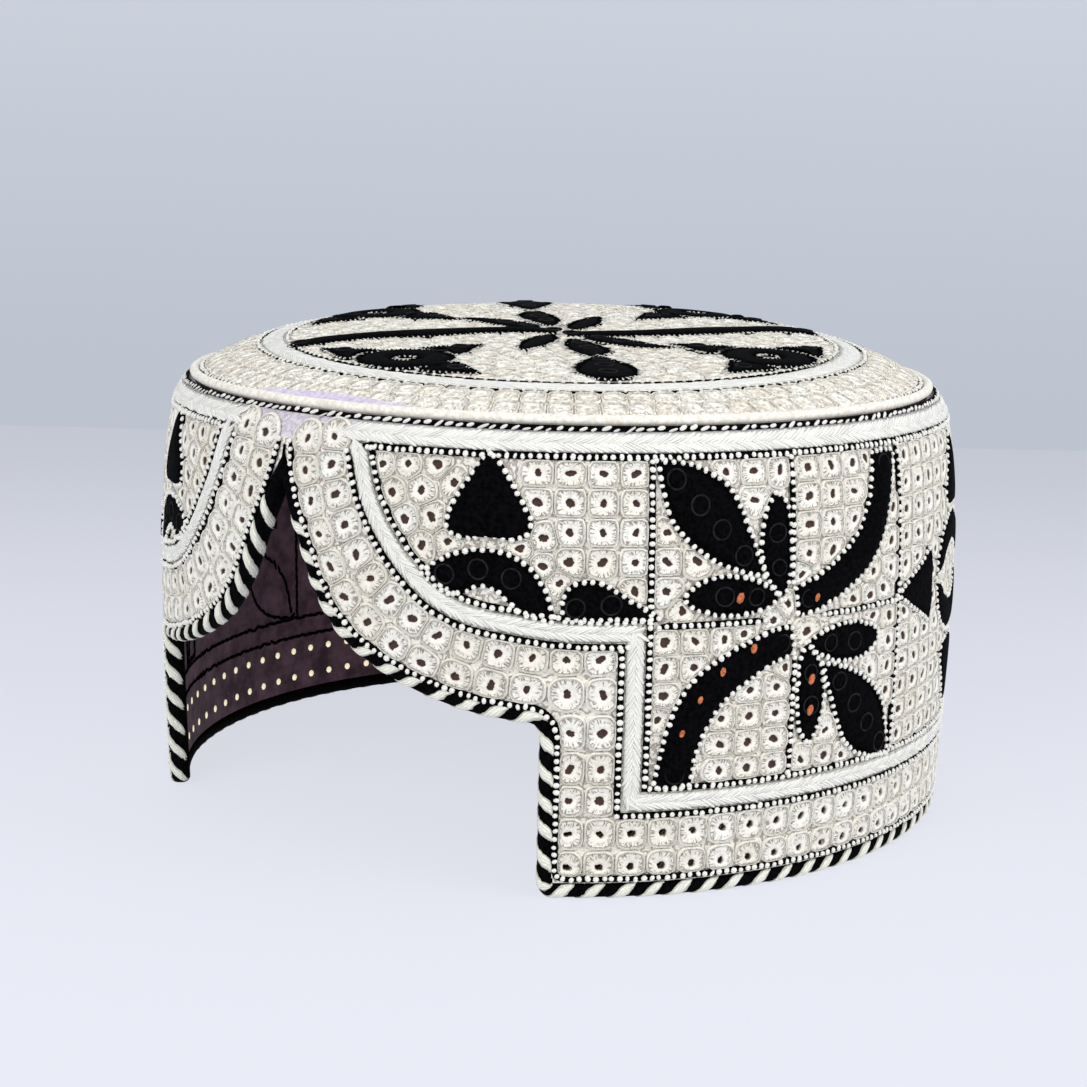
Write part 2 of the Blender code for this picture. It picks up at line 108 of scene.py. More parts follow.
def flat(points):                  # degrees and millimetres to the flat wall in metres
    return np.array([(math.radians(a) * cap["flatRadius"], h * mm) for a, h in points])


def distancesAlong(line):
    return np.concatenate(([0.0], np.cumsum(np.linalg.norm(np.diff(line, axis=0), axis=1))))


def pointsAt(at, along, line):
    return np.stack([np.interp(at, along, line[:, k]) for k in (0, 1)], 1)


def resampled(line, step):
    along = distancesAlong(line)
    count = max(int(round(along[-1] / step)), 1)
    return pointsAt(np.linspace(0.0, along[-1], count + 1), along, line)


def columns(*parts):               # arrays side by side, single numbers repeated
    count = max(len(part) for part in parts if np.ndim(part))
    return np.column_stack([part if np.ndim(part) else np.full(count, part) for part in parts])


def smoothed(points, step=0.0008, closed=False):
    p = np.asarray(points, float)
    ends = (p[-1:], p[:2]) if closed else (2 * p[:1] - p[1:2], 2 * p[-1:] - p[-2:-1])
    p = np.vstack((ends[0], p, ends[1]))
    t = np.linspace(0.0, 1.0, 10, endpoint=False)[:, None]
    bits = []
    for a, b, c, d in zip(p, p[1:], p[2:], p[3:]):
        bits.append(0.5 * (2 * b + (c - a) * t + (2 * a - 5 * b + 4 * c - d) * t**2
                           + (3 * b - a - 3 * c + d) * t**3))
    bits.append(p[-2:-1])
    return resampled(np.vstack(bits), step)


def beside(line, offset):          # the same line, moved to its left, corners mitred
    steps = np.diff(line, axis=0)
    left = np.stack((-steps[:, 1], steps[:, 0]), 1)
    left /= np.linalg.norm(left, axis=1)[:, None]
    turn = np.vstack((left[:1], left)) + np.vstack((left, left[-1:]))
    return line + turn * (2 * offset / np.maximum((turn**2).sum(1), 0.8))[:, None]


def mirrored(line):                # to the other half of the wall, running the same way round
    return (line * (-1, 1))[::-1]


def halves(lines):
    return list(lines) + [mirrored(line) for line in lines]


def circle(radius, step, centre=(0.0, 0.0)):
    count = int(round(2 * math.pi * radius / step))
    a = np.linspace(0.0, 2 * math.pi, count + 1)
    return np.stack((centre[0] + radius * np.cos(a), centre[1] + radius * np.sin(a)), 1)


# Pieces: meshes in and out of numpy, wrapped on the cap
def readMesh(mesh):
    points = np.empty(len(mesh.vertices) * 3)
    corners = np.empty(len(mesh.loops), dtype=np.int32)
    starts = np.empty(len(mesh.polygons), dtype=np.int32)
    mesh.vertices.foreach_get("co", points)
    mesh.loops.foreach_get("vertex_index", corners)
    mesh.polygons.foreach_get("loop_start", starts)
    return points.reshape(-1, 3), corners, starts


def newPiece(name, points, corners, starts, uv=None, tone=None):
    mesh = bpy.data.meshes.new(name)
    mesh.vertices.add(len(points))
    mesh.vertices.foreach_set("co", np.ascontiguousarray(points, dtype=np.float32).ravel())
    mesh.loops.add(len(corners))
    mesh.loops.foreach_set("vertex_index", corners.astype(np.int32))
    mesh.polygons.add(len(starts))
    mesh.polygons.foreach_set("loop_start", starts.astype(np.int32))
    mesh.update(calc_edges=True)
    if uv is not None:
        layer = mesh.uv_layers.new(name="local")
        layer.uv.foreach_set("vector", uv[corners].astype(np.float32).ravel())
    if tone is not None:
        mesh.attributes.new("tone", "FLOAT", "POINT").data.foreach_set(
            "value", tone.astype(np.float32))
    mesh.shade_smooth()
    piece = bpy.data.objects.new(name, mesh)
    bpy.context.collection.objects.link(piece)
    return piece


def dropped(piece):                # a mesh read into numpy, its object removed
    shape = readMesh(piece.data)
    bpy.data.objects.remove(piece, do_unlink=True)
    return shape


def repeated(name, shape, laid, wrap):
    # one mesh from many copies of a shape, each with its own tone
    points, corners, starts = shape
    count = len(laid)
    step = np.arange(count)[:, None]
    return newPiece(
        name, wrap(laid.reshape(-1, 3)), (corners[None] + step * len(points)).ravel(),
        (starts[None] + step * len(corners)).ravel(),
        np.tile(points[:, :2] * 0.5 + 0.5, (count, 1)),
        np.repeat(chance.random(count), len(points)))


def layCopies(name, shape, places, wrap):
    # places: x, y, angle, length, width, height, lift
    places = np.asarray(places, float)
    c, s = np.cos(places[:, 2:3]), np.sin(places[:, 2:3])
    local = shape[0][None] * places[:, None, 3:6]
    return repeated(name, shape, np.stack((
        places[:, 0:1] + local[..., 0] * c - local[..., 1] * s,
        places[:, 1:2] + local[..., 0] * s + local[..., 1] * c,
        places[:, 6:7] + local[..., 2]), -1), wrap)


def unitGrid(name, columns, rows):
    bpy.ops.object.select_all(action="DESELECT")
    bpy.ops.mesh.primitive_grid_add(x_subdivisions=columns, y_subdivisions=rows, size=1)
    piece = bpy.context.object
    piece.name = piece.data.name = name
    points = readMesh(piece.data)[0] + 0.5
    return piece, points[:, 0], points[:, 1]


def setPoints(piece, points):
    piece.data.vertices.foreach_set("co", np.ascontiguousarray(points, dtype=np.float32).ravel())
    piece.data.update()


def only(piece):
    bpy.ops.object.select_all(action="DESELECT")
    piece.select_set(True)
    bpy.context.view_layer.objects.active = piece


def joined(name, pieces):
    if len(pieces) > 1:
        only(pieces[0])
        for piece in pieces:
            piece.select_set(True)
        bpy.ops.object.join()
    pieces[0].name = pieces[0].data.name = name
    return pieces[0]


def applied(piece, kind, **settings):
    only(piece)
    modifier = piece.modifiers.new(kind.title(), kind)
    for key, value in settings.items():
        setattr(modifier, key, value)
    bpy.ops.object.modifier_apply(modifier=modifier.name)


def cleaned(piece, distance=0.00001, holes=0, outwards=True):
    # doubles merged, holes of so many sides closed, faces turned outwards
    only(piece)
    bpy.ops.object.mode_set(mode="EDIT")
    bpy.ops.mesh.select_all(action="SELECT")
    bpy.ops.mesh.remove_doubles(threshold=distance)
    if holes:
        bpy.ops.mesh.select_all(action="DESELECT")
        bpy.ops.mesh.select_non_manifold()
        bpy.ops.mesh.fill_holes(sides=holes)
        bpy.ops.mesh.select_all(action="SELECT")
    if outwards:
        bpy.ops.mesh.normals_make_consistent(inside=False)
    bpy.ops.object.mode_set(mode="OBJECT")
    piece.data.shade_smooth()


def faceUp(piece):
    if piece.data.polygons[0].normal.z < 0:
        piece.data.flip_normals()


def thread(name, lines, width, height, lift, wrap, sides=8):
    # a flat tube along each line, narrower at its ends and closed there
    narrow = 0.45
    bits = []
    for line in lines:
        last = len(line) - 1
        piece, u, v = unitGrid(name, last, sides)
        at, turn = np.rint(u * last).astype(int), np.rint(v * sides) / sides * 2 * math.pi
        size = np.where((at > 0) & (at < last), 1.0, narrow) / 2
        left = beside(line, 1.0) - line
        points = line[at] + left[at] * (np.cos(turn) * width * size)[:, None]
        setPoints(piece, wrap(columns(points, np.sin(turn) * height * size + lift)))
        bits.append(piece)
    piece = joined(name, bits)
    cleaned(piece, 0.000001, sides)
    return piece


def finished(piece, material, *nodes):
    piece.data.materials.clear()
    piece.data.materials.append(material)
    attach(piece, "root")
    if nodes:
        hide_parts(*nodes)
    return piece


# Materials: shader maths as expressions on one socket
class Value:
    def __init__(self, finish, out):
        self.finish, self.out = finish, out

    def math(self, operation, other=0.5, swap=False):
        pair = (other, self) if swap else (self, other)
        return self.finish.node("ShaderNodeMath", {"operation": operation}, dict(enumerate(pair)))

    def __add__(self, other): return self.math("ADD", other)
    def __sub__(self, other): return self.math("SUBTRACT", other)
    def __rsub__(self, other): return self.math("SUBTRACT", other, True)
    def __mul__(self, other): return self.math("MULTIPLY", other)
    def __truediv__(self, other): return self.math("DIVIDE", other)

    def sine(self): return self.math("SINE")
    def held(self): return self.finish.node("ShaderNodeClamp", {}, {"Value": self})

    def ramp(self, low, high):     # 0 at low and 1 at high, smooth between
        return self.finish.node(
            "ShaderNodeMapRange", {"interpolation_type": "SMOOTHSTEP"},
            {"Value": self, "From Min": low, "From Max": high})


class Finish:
    def __init__(self, name, roughness=0.8, sheen=0.0, gloss=0.3):
        self.material = bpy.data.materials.new(name)
        self.material.use_nodes = True
        self.tree = self.material.node_tree
        self.shader = self.tree.nodes["Principled BSDF"]
        self.shader.inputs["Roughness"].default_value = roughness
        self.shader.inputs["Sheen Weight"].default_value = sheen
        self.shader.inputs["Specular IOR Level"].default_value = gloss

    def plug(self, socket, value):
        if isinstance(value, Value):
            self.tree.links.new(value.out, socket)
        elif value is not None:
            socket.default_value = value

    def node(self, kind, settings, values, output=0):
        made = self.tree.nodes.new(kind)
        for key, value in settings.items():
            setattr(made, key, value)
        for key, value in values.items():
            self.plug(made.inputs[key], value)
        return Value(self, made.outputs[output])

    def place(self):
        return self.node("ShaderNodeTexCoord", {}, {}, "Object")

    def local(self):
        return self.node("ShaderNodeUVMap", {"uv_map": "local"}, {})

    def tone(self):
        return self.node("ShaderNodeAttribute", {"attribute_name": "tone"}, {}, "Fac")

    def split(self, vector):
        made = self.tree.nodes.new("ShaderNodeSeparateXYZ")
        self.plug(made.inputs[0], vector)
        return [Value(self, out) for out in made.outputs]

    def noise(self, scale, detail=2.0, where=None, roughness=0.5):
        return self.node("ShaderNodeTexNoise", {}, {
            "Vector": where or self.place(), "Scale": scale, "Detail": detail,
            "Roughness": roughness})

    def mixed(self, share, low, high):
        made = self.tree.nodes.new("ShaderNodeMix")
        made.data_type = "RGBA"
        self.plug(made.inputs["Factor"], share)
        for key, value in ((6, low), (7, high)):
            self.plug(made.inputs[key], value if isinstance(value, Value) else (*value, 1.0))
        return Value(self, made.outputs[2])

    def done(self, color=None, height=None, depth=0.0002, roughness=None):
        if color is not None:
            self.plug(self.shader.inputs["Base Color"],
                      color if isinstance(color, Value) else (*color, 1.0))
        if roughness is not None:
            self.plug(self.shader.inputs["Roughness"], roughness)
        if height is not None:
            bump = self.node("ShaderNodeBump", {}, {"Height": height, "Distance": depth})
            self.plug(self.shader.inputs["Normal"], bump)
        return self.material


def fromScreen(red, green, blue):  # 0 to 255 on a screen to the shader's linear colour
    return tuple(((c / 255 + 0.055) / 1.055) ** 2.4 if c > 10 else c / 255 / 12.92
                 for c in (red, green, blue))


def laceFinish(name, ticks, gap, scribble, light, shaded, holeShadeColor):
    # template coordinates: 0 at the hole's middle, 1 at the cell's outline
    look = Finish(name, roughness=0.8, sheen=0.1)
    x, y = look.split(look.local())[:2]
    x, y = x * 2 - 1, y * 2 - 1
    out = (x * x + y * y).math("SQRT", 0.0)
    tone = look.tone()
    # threads run out from the hole: noise on a drum round the cell, seamless at its start
    drum = look.node("ShaderNodeCombineXYZ", {},
                     {0: x / out, 1: y / out, 2: tone * 31 + out * 0.5})
    threads = look.noise(7.5, 1.0, drum, 0.6).ramp(0.37, 0.47)
    loops = look.noise(1300, 3.0, roughness=0.6).ramp(0.34, 0.54)
    swirls = (look.noise(430, 2.0) * 24 + look.noise(650, 3.0) * 8).sine() * 0.5 + 0.5
    fan = out.ramp(0.44, 0.68) * (1 - out.ramp(0.79, 0.84))
    cord = out.ramp(0.84, 0.89) * (1 - out.ramp(0.965, 1.0))
    groove = out.ramp(0.79, 0.83) * (1 - out.ramp(0.85, 0.89))
    # painted shade: the cloth is darkened between the fan's threads, in the groove inside the
    # cord, at the outer edge where cells meet and in the gaps between the scribbled threads, with
    # a faint random mottle from the fibre noise
    shade = fan * (1 - threads) * ticks + groove * (gap - loops * gap * 0.6)
    shade = shade + out.ramp(0.965, 1.0) * gap + (1 - loops) * 0.08
    shade = shade + (1 - swirls.ramp(0.1, 0.5)) * scribble
    # the shade mixes the cloth towards a dark brown
    cloth = look.mixed(shade.held(), look.mixed(tone, light, shaded), fromScreen(112, 98, 86))
    # the hole's middle takes holeShadeColor, painted shade in the hole (dark brown on the wall)
    hole = 1 - out.ramp(0.25, 0.30)
    relief = threads * fan * 0.7 + cord * 0.8 + loops * 0.3 + swirls * (scribble * 2)
    return look.done(look.mixed(hole, cloth, holeShadeColor), relief - groove * 0.4, 0.00024)


def clothFinish(name, wornFrom):
    # couched threads over pale cotton, the fine gaps between them painted darker as shade;
    # lavender cloth bare near the seam
    look = Finish(name, roughness=0.85, sheen=0.1)
    swirl = look.noise(700, 3.0, roughness=0.6)
    lines = (look.noise(430, 2.0) * 24 + swirl * 9).sine() * 0.5 + 0.5
    share = (lines.ramp(0.05, 0.45) * 0.85 + swirl.ramp(0.3, 0.6) * 0.25).held()
    # painted shade: the gaps between the threads take the darker colour
    color = look.mixed(share, fromScreen(150, 138, 130), fromScreen(243, 239, 227))
    bare = look.split(look.place())[2].ramp(wornFrom, wornFrom + 0.001)
    color = look.mixed(bare * 0.7, color, fromScreen(206, 197, 216))
    return look.done(color, lines * 0.8 + look.noise(3000) * 0.2, 0.00035)


def threadFinish(name, light, dark, roughness=0.6, strands=5.0, sheen=0.1, edge=0.6):
    # satin thread: fine strands along each stitch, with painted shade between the strands and
    # towards each stitch's sides
    look = Finish(name, roughness=roughness, sheen=sheen)
    along, across = look.split(look.local())[:2]
    tone = look.tone()
    strand = (across * (strands * 6.283) + look.noise(1500) * 4 + tone * 6).sine() * 0.5 + 0.5
    side = (across * 2 - 1).math("ABSOLUTE", 0.0).ramp(0.55, 1.0)
    # painted shade: darker between the strands and at the sides, where neighbouring stitches meet;
    # tone adds a random difference per stitch
    share = ((1 - strand) * 0.3 + tone * 0.12 + side * edge).held()
    return look.done(look.mixed(share, light, dark), strand, 0.00012)


def plainThread(name, light, dark, scale=1400.0, roughness=0.8, sheen=0.2, depth=0.0003,
                gloss=0.3):
    look = Finish(name, roughness=roughness, sheen=sheen, gloss=gloss)
    fuzz = look.noise(scale, 4.0, roughness=0.65)
    return look.done(look.mixed(fuzz.ramp(0.3, 0.72), dark, light), fuzz, depth)


lace = laceFinish("creamLace", 0.70, 0.44, 0.06, fromScreen(242, 239, 229),
                  fromScreen(234, 229, 215), fromScreen(70, 48, 41))
crownThread = laceFinish("crownLace", 0.20, 0.26, 0.32, fromScreen(255, 252, 241),
                         fromScreen(248, 240, 224), fromScreen(214, 204, 186))
ground = clothFinish("laceGround", 0.0885)
crownGround = clothFinish("crownGround", 0.2)
whiteThread = threadFinish("whiteThread", fromScreen(248, 247, 240), fromScreen(158, 155, 148),
                           0.6, 2.0, 0.15, 0.25)
beadThread = threadFinish("beadThread", fromScreen(248, 247, 240), fromScreen(204, 198, 188),
                          0.7, 3.0)
ivoryThread = threadFinish("ivoryThread", fromScreen(240, 240, 226), fromScreen(150, 147, 134),
                           0.7, 4.0)
creamRoll = plainThread("creamRoll", fromScreen(247, 244, 233), fromScreen(216, 209, 195),
                        900, 0.7, depth=0.0001)
lavender = plainThread("lavenderCloth", fromScreen(222, 214, 230), fromScreen(186, 174, 198), 900)
blackThread = plainThread("blackThread", (0.0032, 0.0032, 0.0040), (0.0001, 0.0001, 0.0002),
                          1100, 0.9, 0.0, 0.0005, 0.03)
blackRing = plainThread("blackRing", (0.018, 0.018, 0.020), (0.002, 0.002, 0.003), 700, 0.7, 0.0,
                        gloss=0.10)
# painted light: orange standing in for light showing through small holes in the leaves
orangeThread = plainThread("orangeThread", fromScreen(214, 120, 62), fromScreen(150, 70, 34), 1600)
lining = plainThread("purpleCotton", fromScreen(112, 84, 94), fromScreen(64, 46, 54),
                     160, 0.9, 0.1, 0.0006, 0.1)
# painted light: the knots glow by their own emission, standing in for daylight through the eyelet
# holes
glowingKnotThread = plainThread("eyeletKnots", fromScreen(252, 244, 214), fromScreen(206, 190, 150))
knotGlowInputs = glowingKnotThread.node_tree.nodes["Principled BSDF"].inputs
knotGlowInputs["Emission Color"].default_value = (1.0, 0.9, 0.62, 1.0)
knotGlowInputs["Emission Strength"].default_value = 0.7
print("materials ready")

# Shapes that repeat: a bead stitch, a satin stitch, a ring, and an eyelet cell
repeats = {"beadSides": 7, "stitchSides": 6, "cellSides": 16, "ringTube": 0.11}

bpy.ops.mesh.primitive_uv_sphere_add(segments=repeats["beadSides"], ring_count=5, radius=1)
bpy.ops.object.mode_set(mode="EDIT")
bpy.ops.mesh.select_all(action="SELECT")
bpy.ops.mesh.bisect(plane_co=(0, 0, -0.3), plane_no=(0, 0, 1), use_fill=True, clear_inner=True)
bpy.ops.object.mode_set(mode="OBJECT")
beadShape = dropped(bpy.context.object)


def stitchTemplate(sides, bands):  # a long bead that lies along X
    bpy.ops.mesh.primitive_uv_sphere_add(
        segments=sides, ring_count=bands, radius=1, rotation=(0, math.pi / 2, 0))
    bpy.ops.object.transform_apply(location=False, rotation=True, scale=False)
    return dropped(bpy.context.object)


stitchShape, smallStitch = stitchTemplate(repeats["stitchSides"], 5), stitchTemplate(4, 4)

bpy.ops.mesh.primitive_torus_add(
    major_radius=1, minor_radius=repeats["ringTube"], major_segments=14, minor_segments=4)
ringShape = dropped(bpy.context.object)

cell = {
    # share of the way out from the middle, height above the cloth in metres
    "outside": (1.0, -0.00005), "cordTop": (0.93, 0.00082), "groove": (0.82, 0.00034),
    "fan": (0.55, 0.00070), "lip": (0.29, 0.00050), "floor": (0.24, 0.00005),
    "openFloor": (0.22, -0.00100), "gap": 0.00002, "largest": 0.0041, "corner": 1.34,
}
rings = [cell[k] for k in ("outside", "cordTop", "groove", "fan", "lip", "floor")]


def cellTemplate(name, closed):
    bpy.ops.object.select_all(action="DESELECT")
    bpy.ops.mesh.primitive_circle_add(vertices=repeats["cellSides"], radius=1, fill_type="NOTHING")
    piece = bpy.context.object
    piece.name = name
    bpy.ops.object.mode_set(mode="EDIT")
    bpy.ops.mesh.select_all(action="SELECT")
    bpy.ops.transform.translate(value=(0, 0, rings[0][1]))
    steps = rings if closed else rings[:-1] + [cell["openFloor"]]
    for (before, low), (share, high) in zip(steps, steps[1:]):
        bpy.ops.mesh.extrude_region_move(TRANSFORM_OT_translate={"value": (0, 0, high - low)})
        ratio = share / before
        bpy.ops.transform.resize(value=(ratio, ratio, 1), center_override=(0, 0, 0))
    if closed:
        bpy.ops.mesh.edge_face_add()
    bpy.ops.mesh.select_all(action="SELECT")
    bpy.ops.mesh.normals_make_consistent(inside=False)
    bpy.ops.object.mode_set(mode="OBJECT")
    faceUp(piece)
    return dropped(piece)


closedCell, openCell = cellTemplate("closedCell", True), cellTemplate("openCell", False)

# The drawing on the wall: its right half, in degrees from the front and millimetres
notch = {
    "edge": ((0, 80.5), (1.3, 75.2), (3.2, 69.2), (5.8, 60), (9.6, 51.6), (14.5, 46),
             (21, 41.3), (28, 38), (34.5, 36.4)),
    "side": 36.9, "stepCorner": 2.5, "footCorner": 3.2, "beadOffset": 3.45, "beadTop": 88.6,
}
braid = {
    "start": ((11.9, 89.2), (12.6, 86.8), (14, 80), (16.2, 73.5), (19.2, 67.2), (23, 61.5),
              (27.5, 58), (33, 56.4), (40, 55.1), (48.5, 54.9)),
    "foot": 20.3, "width": 3.5, "beadOffset": 2.75,
    "topHeight": 91.9, "topStart": 10.3, "topWidth": 3.8,
}
half = math.pi * cap["flatRadius"]


def notchEdge():                   # the opening's edge on the right, from its peak to the rim
    side = math.radians(notch["side"]) * cap["flatRadius"]
    arch = np.array([(math.radians(a) * cap["flatRadius"], curveThrough(notch["edge"], a) * mm)
                     for a in np.linspace(0, notch["edge"][-1][0], 60)])
    r = notch["stepCorner"] * mm
    arch = arch[arch[:, 0] < side - r]
    a = np.linspace(0, math.pi / 2, 6)
    top = notch["edge"][-1][1] * mm
    step = np.stack((side - r + r * np.sin(a), top - r + r * np.cos(a)), 1)
    r = notch["footCorner"] * mm
    foot = np.stack((side + r - r * np.cos(a), r - r * np.sin(a)), 1)
    return np.vstack((arch, step, foot))


halfEdge = notchEdge()
notchBeads = beside(halfEdge[:-6], notch["beadOffset"] * mm)
notchBeads = notchBeads[notchBeads[:, 0] > math.radians(1) * cap["flatRadius"]]
notchBeads = np.vstack((flat([(1, notch["beadTop"])]), notchBeads))
notchBeads = notchBeads[notchBeads[:, 1] <= notch["beadTop"] * mm + 1e-9]

panelBraidHalf = np.vstack((
    smoothed(flat(braid["start"])), flat([(48.5, braid["foot"]), (180, braid["foot"])])))
beadLines = {
    "notch": np.vstack((notchBeads, flat([(39.1, 5.4), (39.7, 4.3), (180, 4.3)]))),
    "outside": beside(panelBraidHalf, -braid["beadOffset"] * mm),
    "inside": beside(panelBraidHalf, braid["beadOffset"] * mm),
    "top": flat([(12.4, 89.3), (180, 89.3)]),
    "dividerFront": flat([(50.2, 88.6), (50.2, 57)]),
    "flowerUp": flat([(69.6, 88.6), (69.6, 63.5)]),
    "flowerDown": flat([(70.3, 48), (70.3, 23.8)]),
    "flowerLeft": flat([(51.3, 56.2), (65.5, 56.2)]),
    "flowerRight": flat([(74.8, 56), (89.4, 56)]),
    "dividerSide": flat([(90.2, 88.6), (90.2, 23.8)]),
    "dividerBack": flat([(135, 88.6), (135, 23.8)]),
    "backUp": flat([(157.2, 88.6), (157.2, 63.5)]),
    "backDown": flat([(157.8, 48), (157.8, 23.8)]),
    "backLeft": flat([(136, 56.2), (153, 56.2)]),
    "backRight": flat([(162, 56), (178.8, 56)]),
}
middleLine = flat([(180, 88.6), (180, 23.8)])

# Leaves: two sides each, from root to tip
leaves = {
    "heart": (
        ((29.7, 89.2), (28, 85), (26.4, 81), (25.2, 77.3), (25.4, 74.8), (27, 73.8), (29.9, 74.5)),
        ((29.7, 89.2), (31.1, 87), (32.6, 83), (34.4, 78.5), (34.9, 75.6), (33.4, 73.8),
         (29.9, 74.5))),
    "crescent": (
        ((22.4, 65.4), (25, 68.6), (28, 70), (31.2, 70.1), (34, 68.4), (36, 65.4),
         (37.2, 61.6), (37.9, 57.9)),
        ((22.4, 65.4), (24.3, 63.2), (26.4, 62.6), (29.3, 64.4), (31.6, 63.3), (33.3, 60.9),
         (35.2, 58.9), (37.9, 57.9))),
    "drop": (
        ((39.9, 58), (39.7, 61.2), (40.8, 64), (43.2, 64.6), (45.3, 63.1), (48, 60.3),
         (50.9, 57.9)),
        ((39.9, 58), (41.8, 57.8), (45, 57.8), (48, 57.8), (50.9, 57.9))),
}
flowerMiddle = (70.1, 55.6)
flowerLeaves = (
    (((64.7, 66.2), (62.4, 67), (60, 68.3), (57.4, 70.6), (55, 73.4), (53, 77.4), (52, 82.2),
      (51.3, 88)),
     ((64.7, 66.2), (63.7, 70.5), (62.6, 75), (61.4, 79.3), (60, 82.8), (57.4, 85.8),
      (54.5, 87.4), (51.3, 88))),
    (((68.1, 61.6), (66.2, 65), (65.2, 69.5), (65.3, 74), (65.9, 78.3), (67, 81.2)),
     ((68.1, 61.6), (68.8, 65.4), (68.9, 70), (68.7, 75), (68.2, 79), (67, 81.2))),
    (((67.1, 60.5), (64.5, 58.9), (61.5, 58.2), (58.5, 58.7), (56, 60.1), (54.8, 61.8)),
     ((67.1, 60.5), (65.8, 62.6), (63, 64.5), (60, 65.1), (57, 64.4), (54.8, 61.8))),
    (((70.9, 57.2), (73.2, 57.6), (76.2, 59.3), (80, 62.2), (83.1, 65.4), (85.2, 69.2),
      (86.6, 74), (87.6, 79.5), (88.5, 87.2)),
     ((70.6, 61.8), (72.4, 62.9), (74.6, 64.2), (77, 66.6), (79.9, 69.8), (82, 74),
      (83.4, 78.6), (84.2, 83), (84.5, 87.4))),
)
motifMiddle = (112.3, 56.8)
heartSide = ((0, 14.5), (2.4, 10.8), (4.8, 6.6), (6.9, 3), (6.6, 0.7), (4.4, -0.6), (0, 0.3))
arcOut = ((-14, 0.6), (-12.3, 5.6), (-8, 10.2), (0, 12.6), (8, 10.2), (12.3, 5.6), (14, 0.6))
arcIn = ((-14, 0.6), (-10.4, 1.6), (-7.4, 4.2), (0, 6.2), (7.4, 4.2), (10.4, 1.6), (14, 0.6))
wedgeOut = ((0, 14.6), (3.3, 8.2), (6.6, 1.6), (7.3, -0.6), (3.6, 0.7), (0, 1.2))


def flipped(side, x=1, y=1):
    return tuple((p[0] * x, p[1] * y) for p in side)


def moved(side, dx, dy, turned=False):
    return np.array([((-p[1] if turned else p[0]) + dx, (p[0] if turned else p[1]) + dy)
                     for p in side]) * mm


motifLeaves = {
    "heart_top": ((flipped(heartSide, -1), heartSide), 0, 16, False),
    "heart_low": ((flipped(heartSide, 1, -1), flipped(heartSide, -1, -1)), 0, -16.4, False),
    "crescent_top": ((arcIn, arcOut), 0, 0.6, False),
    "crescent_low": ((flipped(arcIn, -1, -1), flipped(arcOut, -1, -1)), 0, -0.6, False),
    "drop_front": ((flipped(wedgeOut, -1), wedgeOut), -19.4, 0, True),
    "drop_back": ((flipped(wedgeOut, 1, -1), flipped(wedgeOut, -1, -1)), 19.4, 0, True),
}


def sidesOnWall(sides, side=1):    # both sides of a leaf, evenly stepped, on either half
    made = [smoothed(flat(s)) * (side, 1) for s in sides]
    return made[::-1] if side < 0 else made


leaf = {"base": 0.00035, "puff": 0.00062, "thickness": 0.0004, "columns": 26, "rows": 8}


def puffed(v):                     # lift of a padded strip across its width
    return leaf["base"] + leaf["puff"] * (1 - np.abs(2 * v - 1) ** 4)


def leafMesh(name, sides, wrap):
    piece, u, v = unitGrid(name, leaf["columns"], leaf["rows"])
    left, right = (pointsAt(u, np.linspace(0, 1, len(side)), side) for side in sides)
    points = right * (1 - v)[:, None] + left * v[:, None]
    lift = leaf["base"] + (puffed(v) - leaf["base"]) * (1 - np.abs(2 * u - 1) ** 12)
    setPoints(piece, wrap(columns(points, lift)))
    return piece


def leafPiece(name, allSides, wrap):
    piece = joined(name, [leafMesh(name, sides, wrap) for sides in allSides])
    cleaned(piece, outwards=False)
    applied(piece, "SOLIDIFY", thickness=leaf["thickness"], offset=-1)
    piece.data.shade_smooth()
    return piece


def outlineOf(sides):
    ring = np.vstack((sides[1], sides[0][::-1]))
    keep = np.linalg.norm(np.diff(ring, axis=0), axis=1) > 1e-6
    ring = ring[np.concatenate((keep, [True]))]
    if np.linalg.norm(ring[0] - ring[-1]) > 1e-6:
        ring = np.vstack((ring, ring[:1]))
    return ring


wallLeaves, crownLeaves = {}, {}   # node: list of leaf sides
for sideName, side in (("right", 1), ("left", -1)):
    for name, sides in leaves.items():
        wallLeaves[f"{name}_{sideName}"] = [sidesOnWall(sides, side)]
    for place, shift in (("front", 0), ("back", 87.4)):
        made = []
        for sides in flowerLeaves:
            there = [[(a + shift, h) for a, h in s] for s in sides]
            across = [[(2 * flowerMiddle[0] - a + shift, 2 * flowerMiddle[1] - h) for a, h in s]
                      for s in sides]
            made += [sidesOnWall(there, side), sidesOnWall(across, side)]
        wallLeaves[f"flower_{place}_{sideName}"] = made
    middle = flat([motifMiddle])[0]
    for name, (sides, dx, dy, turned) in motifLeaves.items():
        made = [smoothed((moved(s, dx, dy, turned) + middle) * (side, 1)) for s in sides]
        wallLeaves[f"motif_{name}_{sideName}"] = [made[::-1] if side < 0 else made]

# Crown drawing, in millimetres: x to the camera's right, y away from it
crownFlower = (
    (((2, -6.6), (10, -5.2), (20, -2.6), (28, -0.2), (35, 2.6), (42, 6.4), (50, 10.6), (60, 14.8)),
     ((2, -1), (9, -1.2), (18, 1.2), (26, 5.4), (33, 8.8), (42, 11.6), (51, 17), (59, 21.4))),
    (((2.6, 3), (1.9, 8), (3.2, 14), (5.6, 19.6), (8.6, 24.4)),
     ((2.6, 3), (5.8, 7.4), (7.9, 13), (8.6, 19), (8.6, 24.4))),
    (((-2.4, 9), (-6.8, 15.6), (-9.6, 22), (-9.4, 27.4), (-6.6, 31.6)),
     ((-2.4, 9), (-1.4, 16), (-2.2, 22), (-4, 27), (-6.6, 31.6))),
    (((-6, 2.4), (-12, 6), (-17, 10.6), (-20.4, 14.2), (-24.6, 17)),
     ((-6, 2.4), (-6.6, 8.6), (-11.6, 13.6), (-17.6, 17.2), (-24.6, 17))),
)
crownMiddle = (0, -1.6)
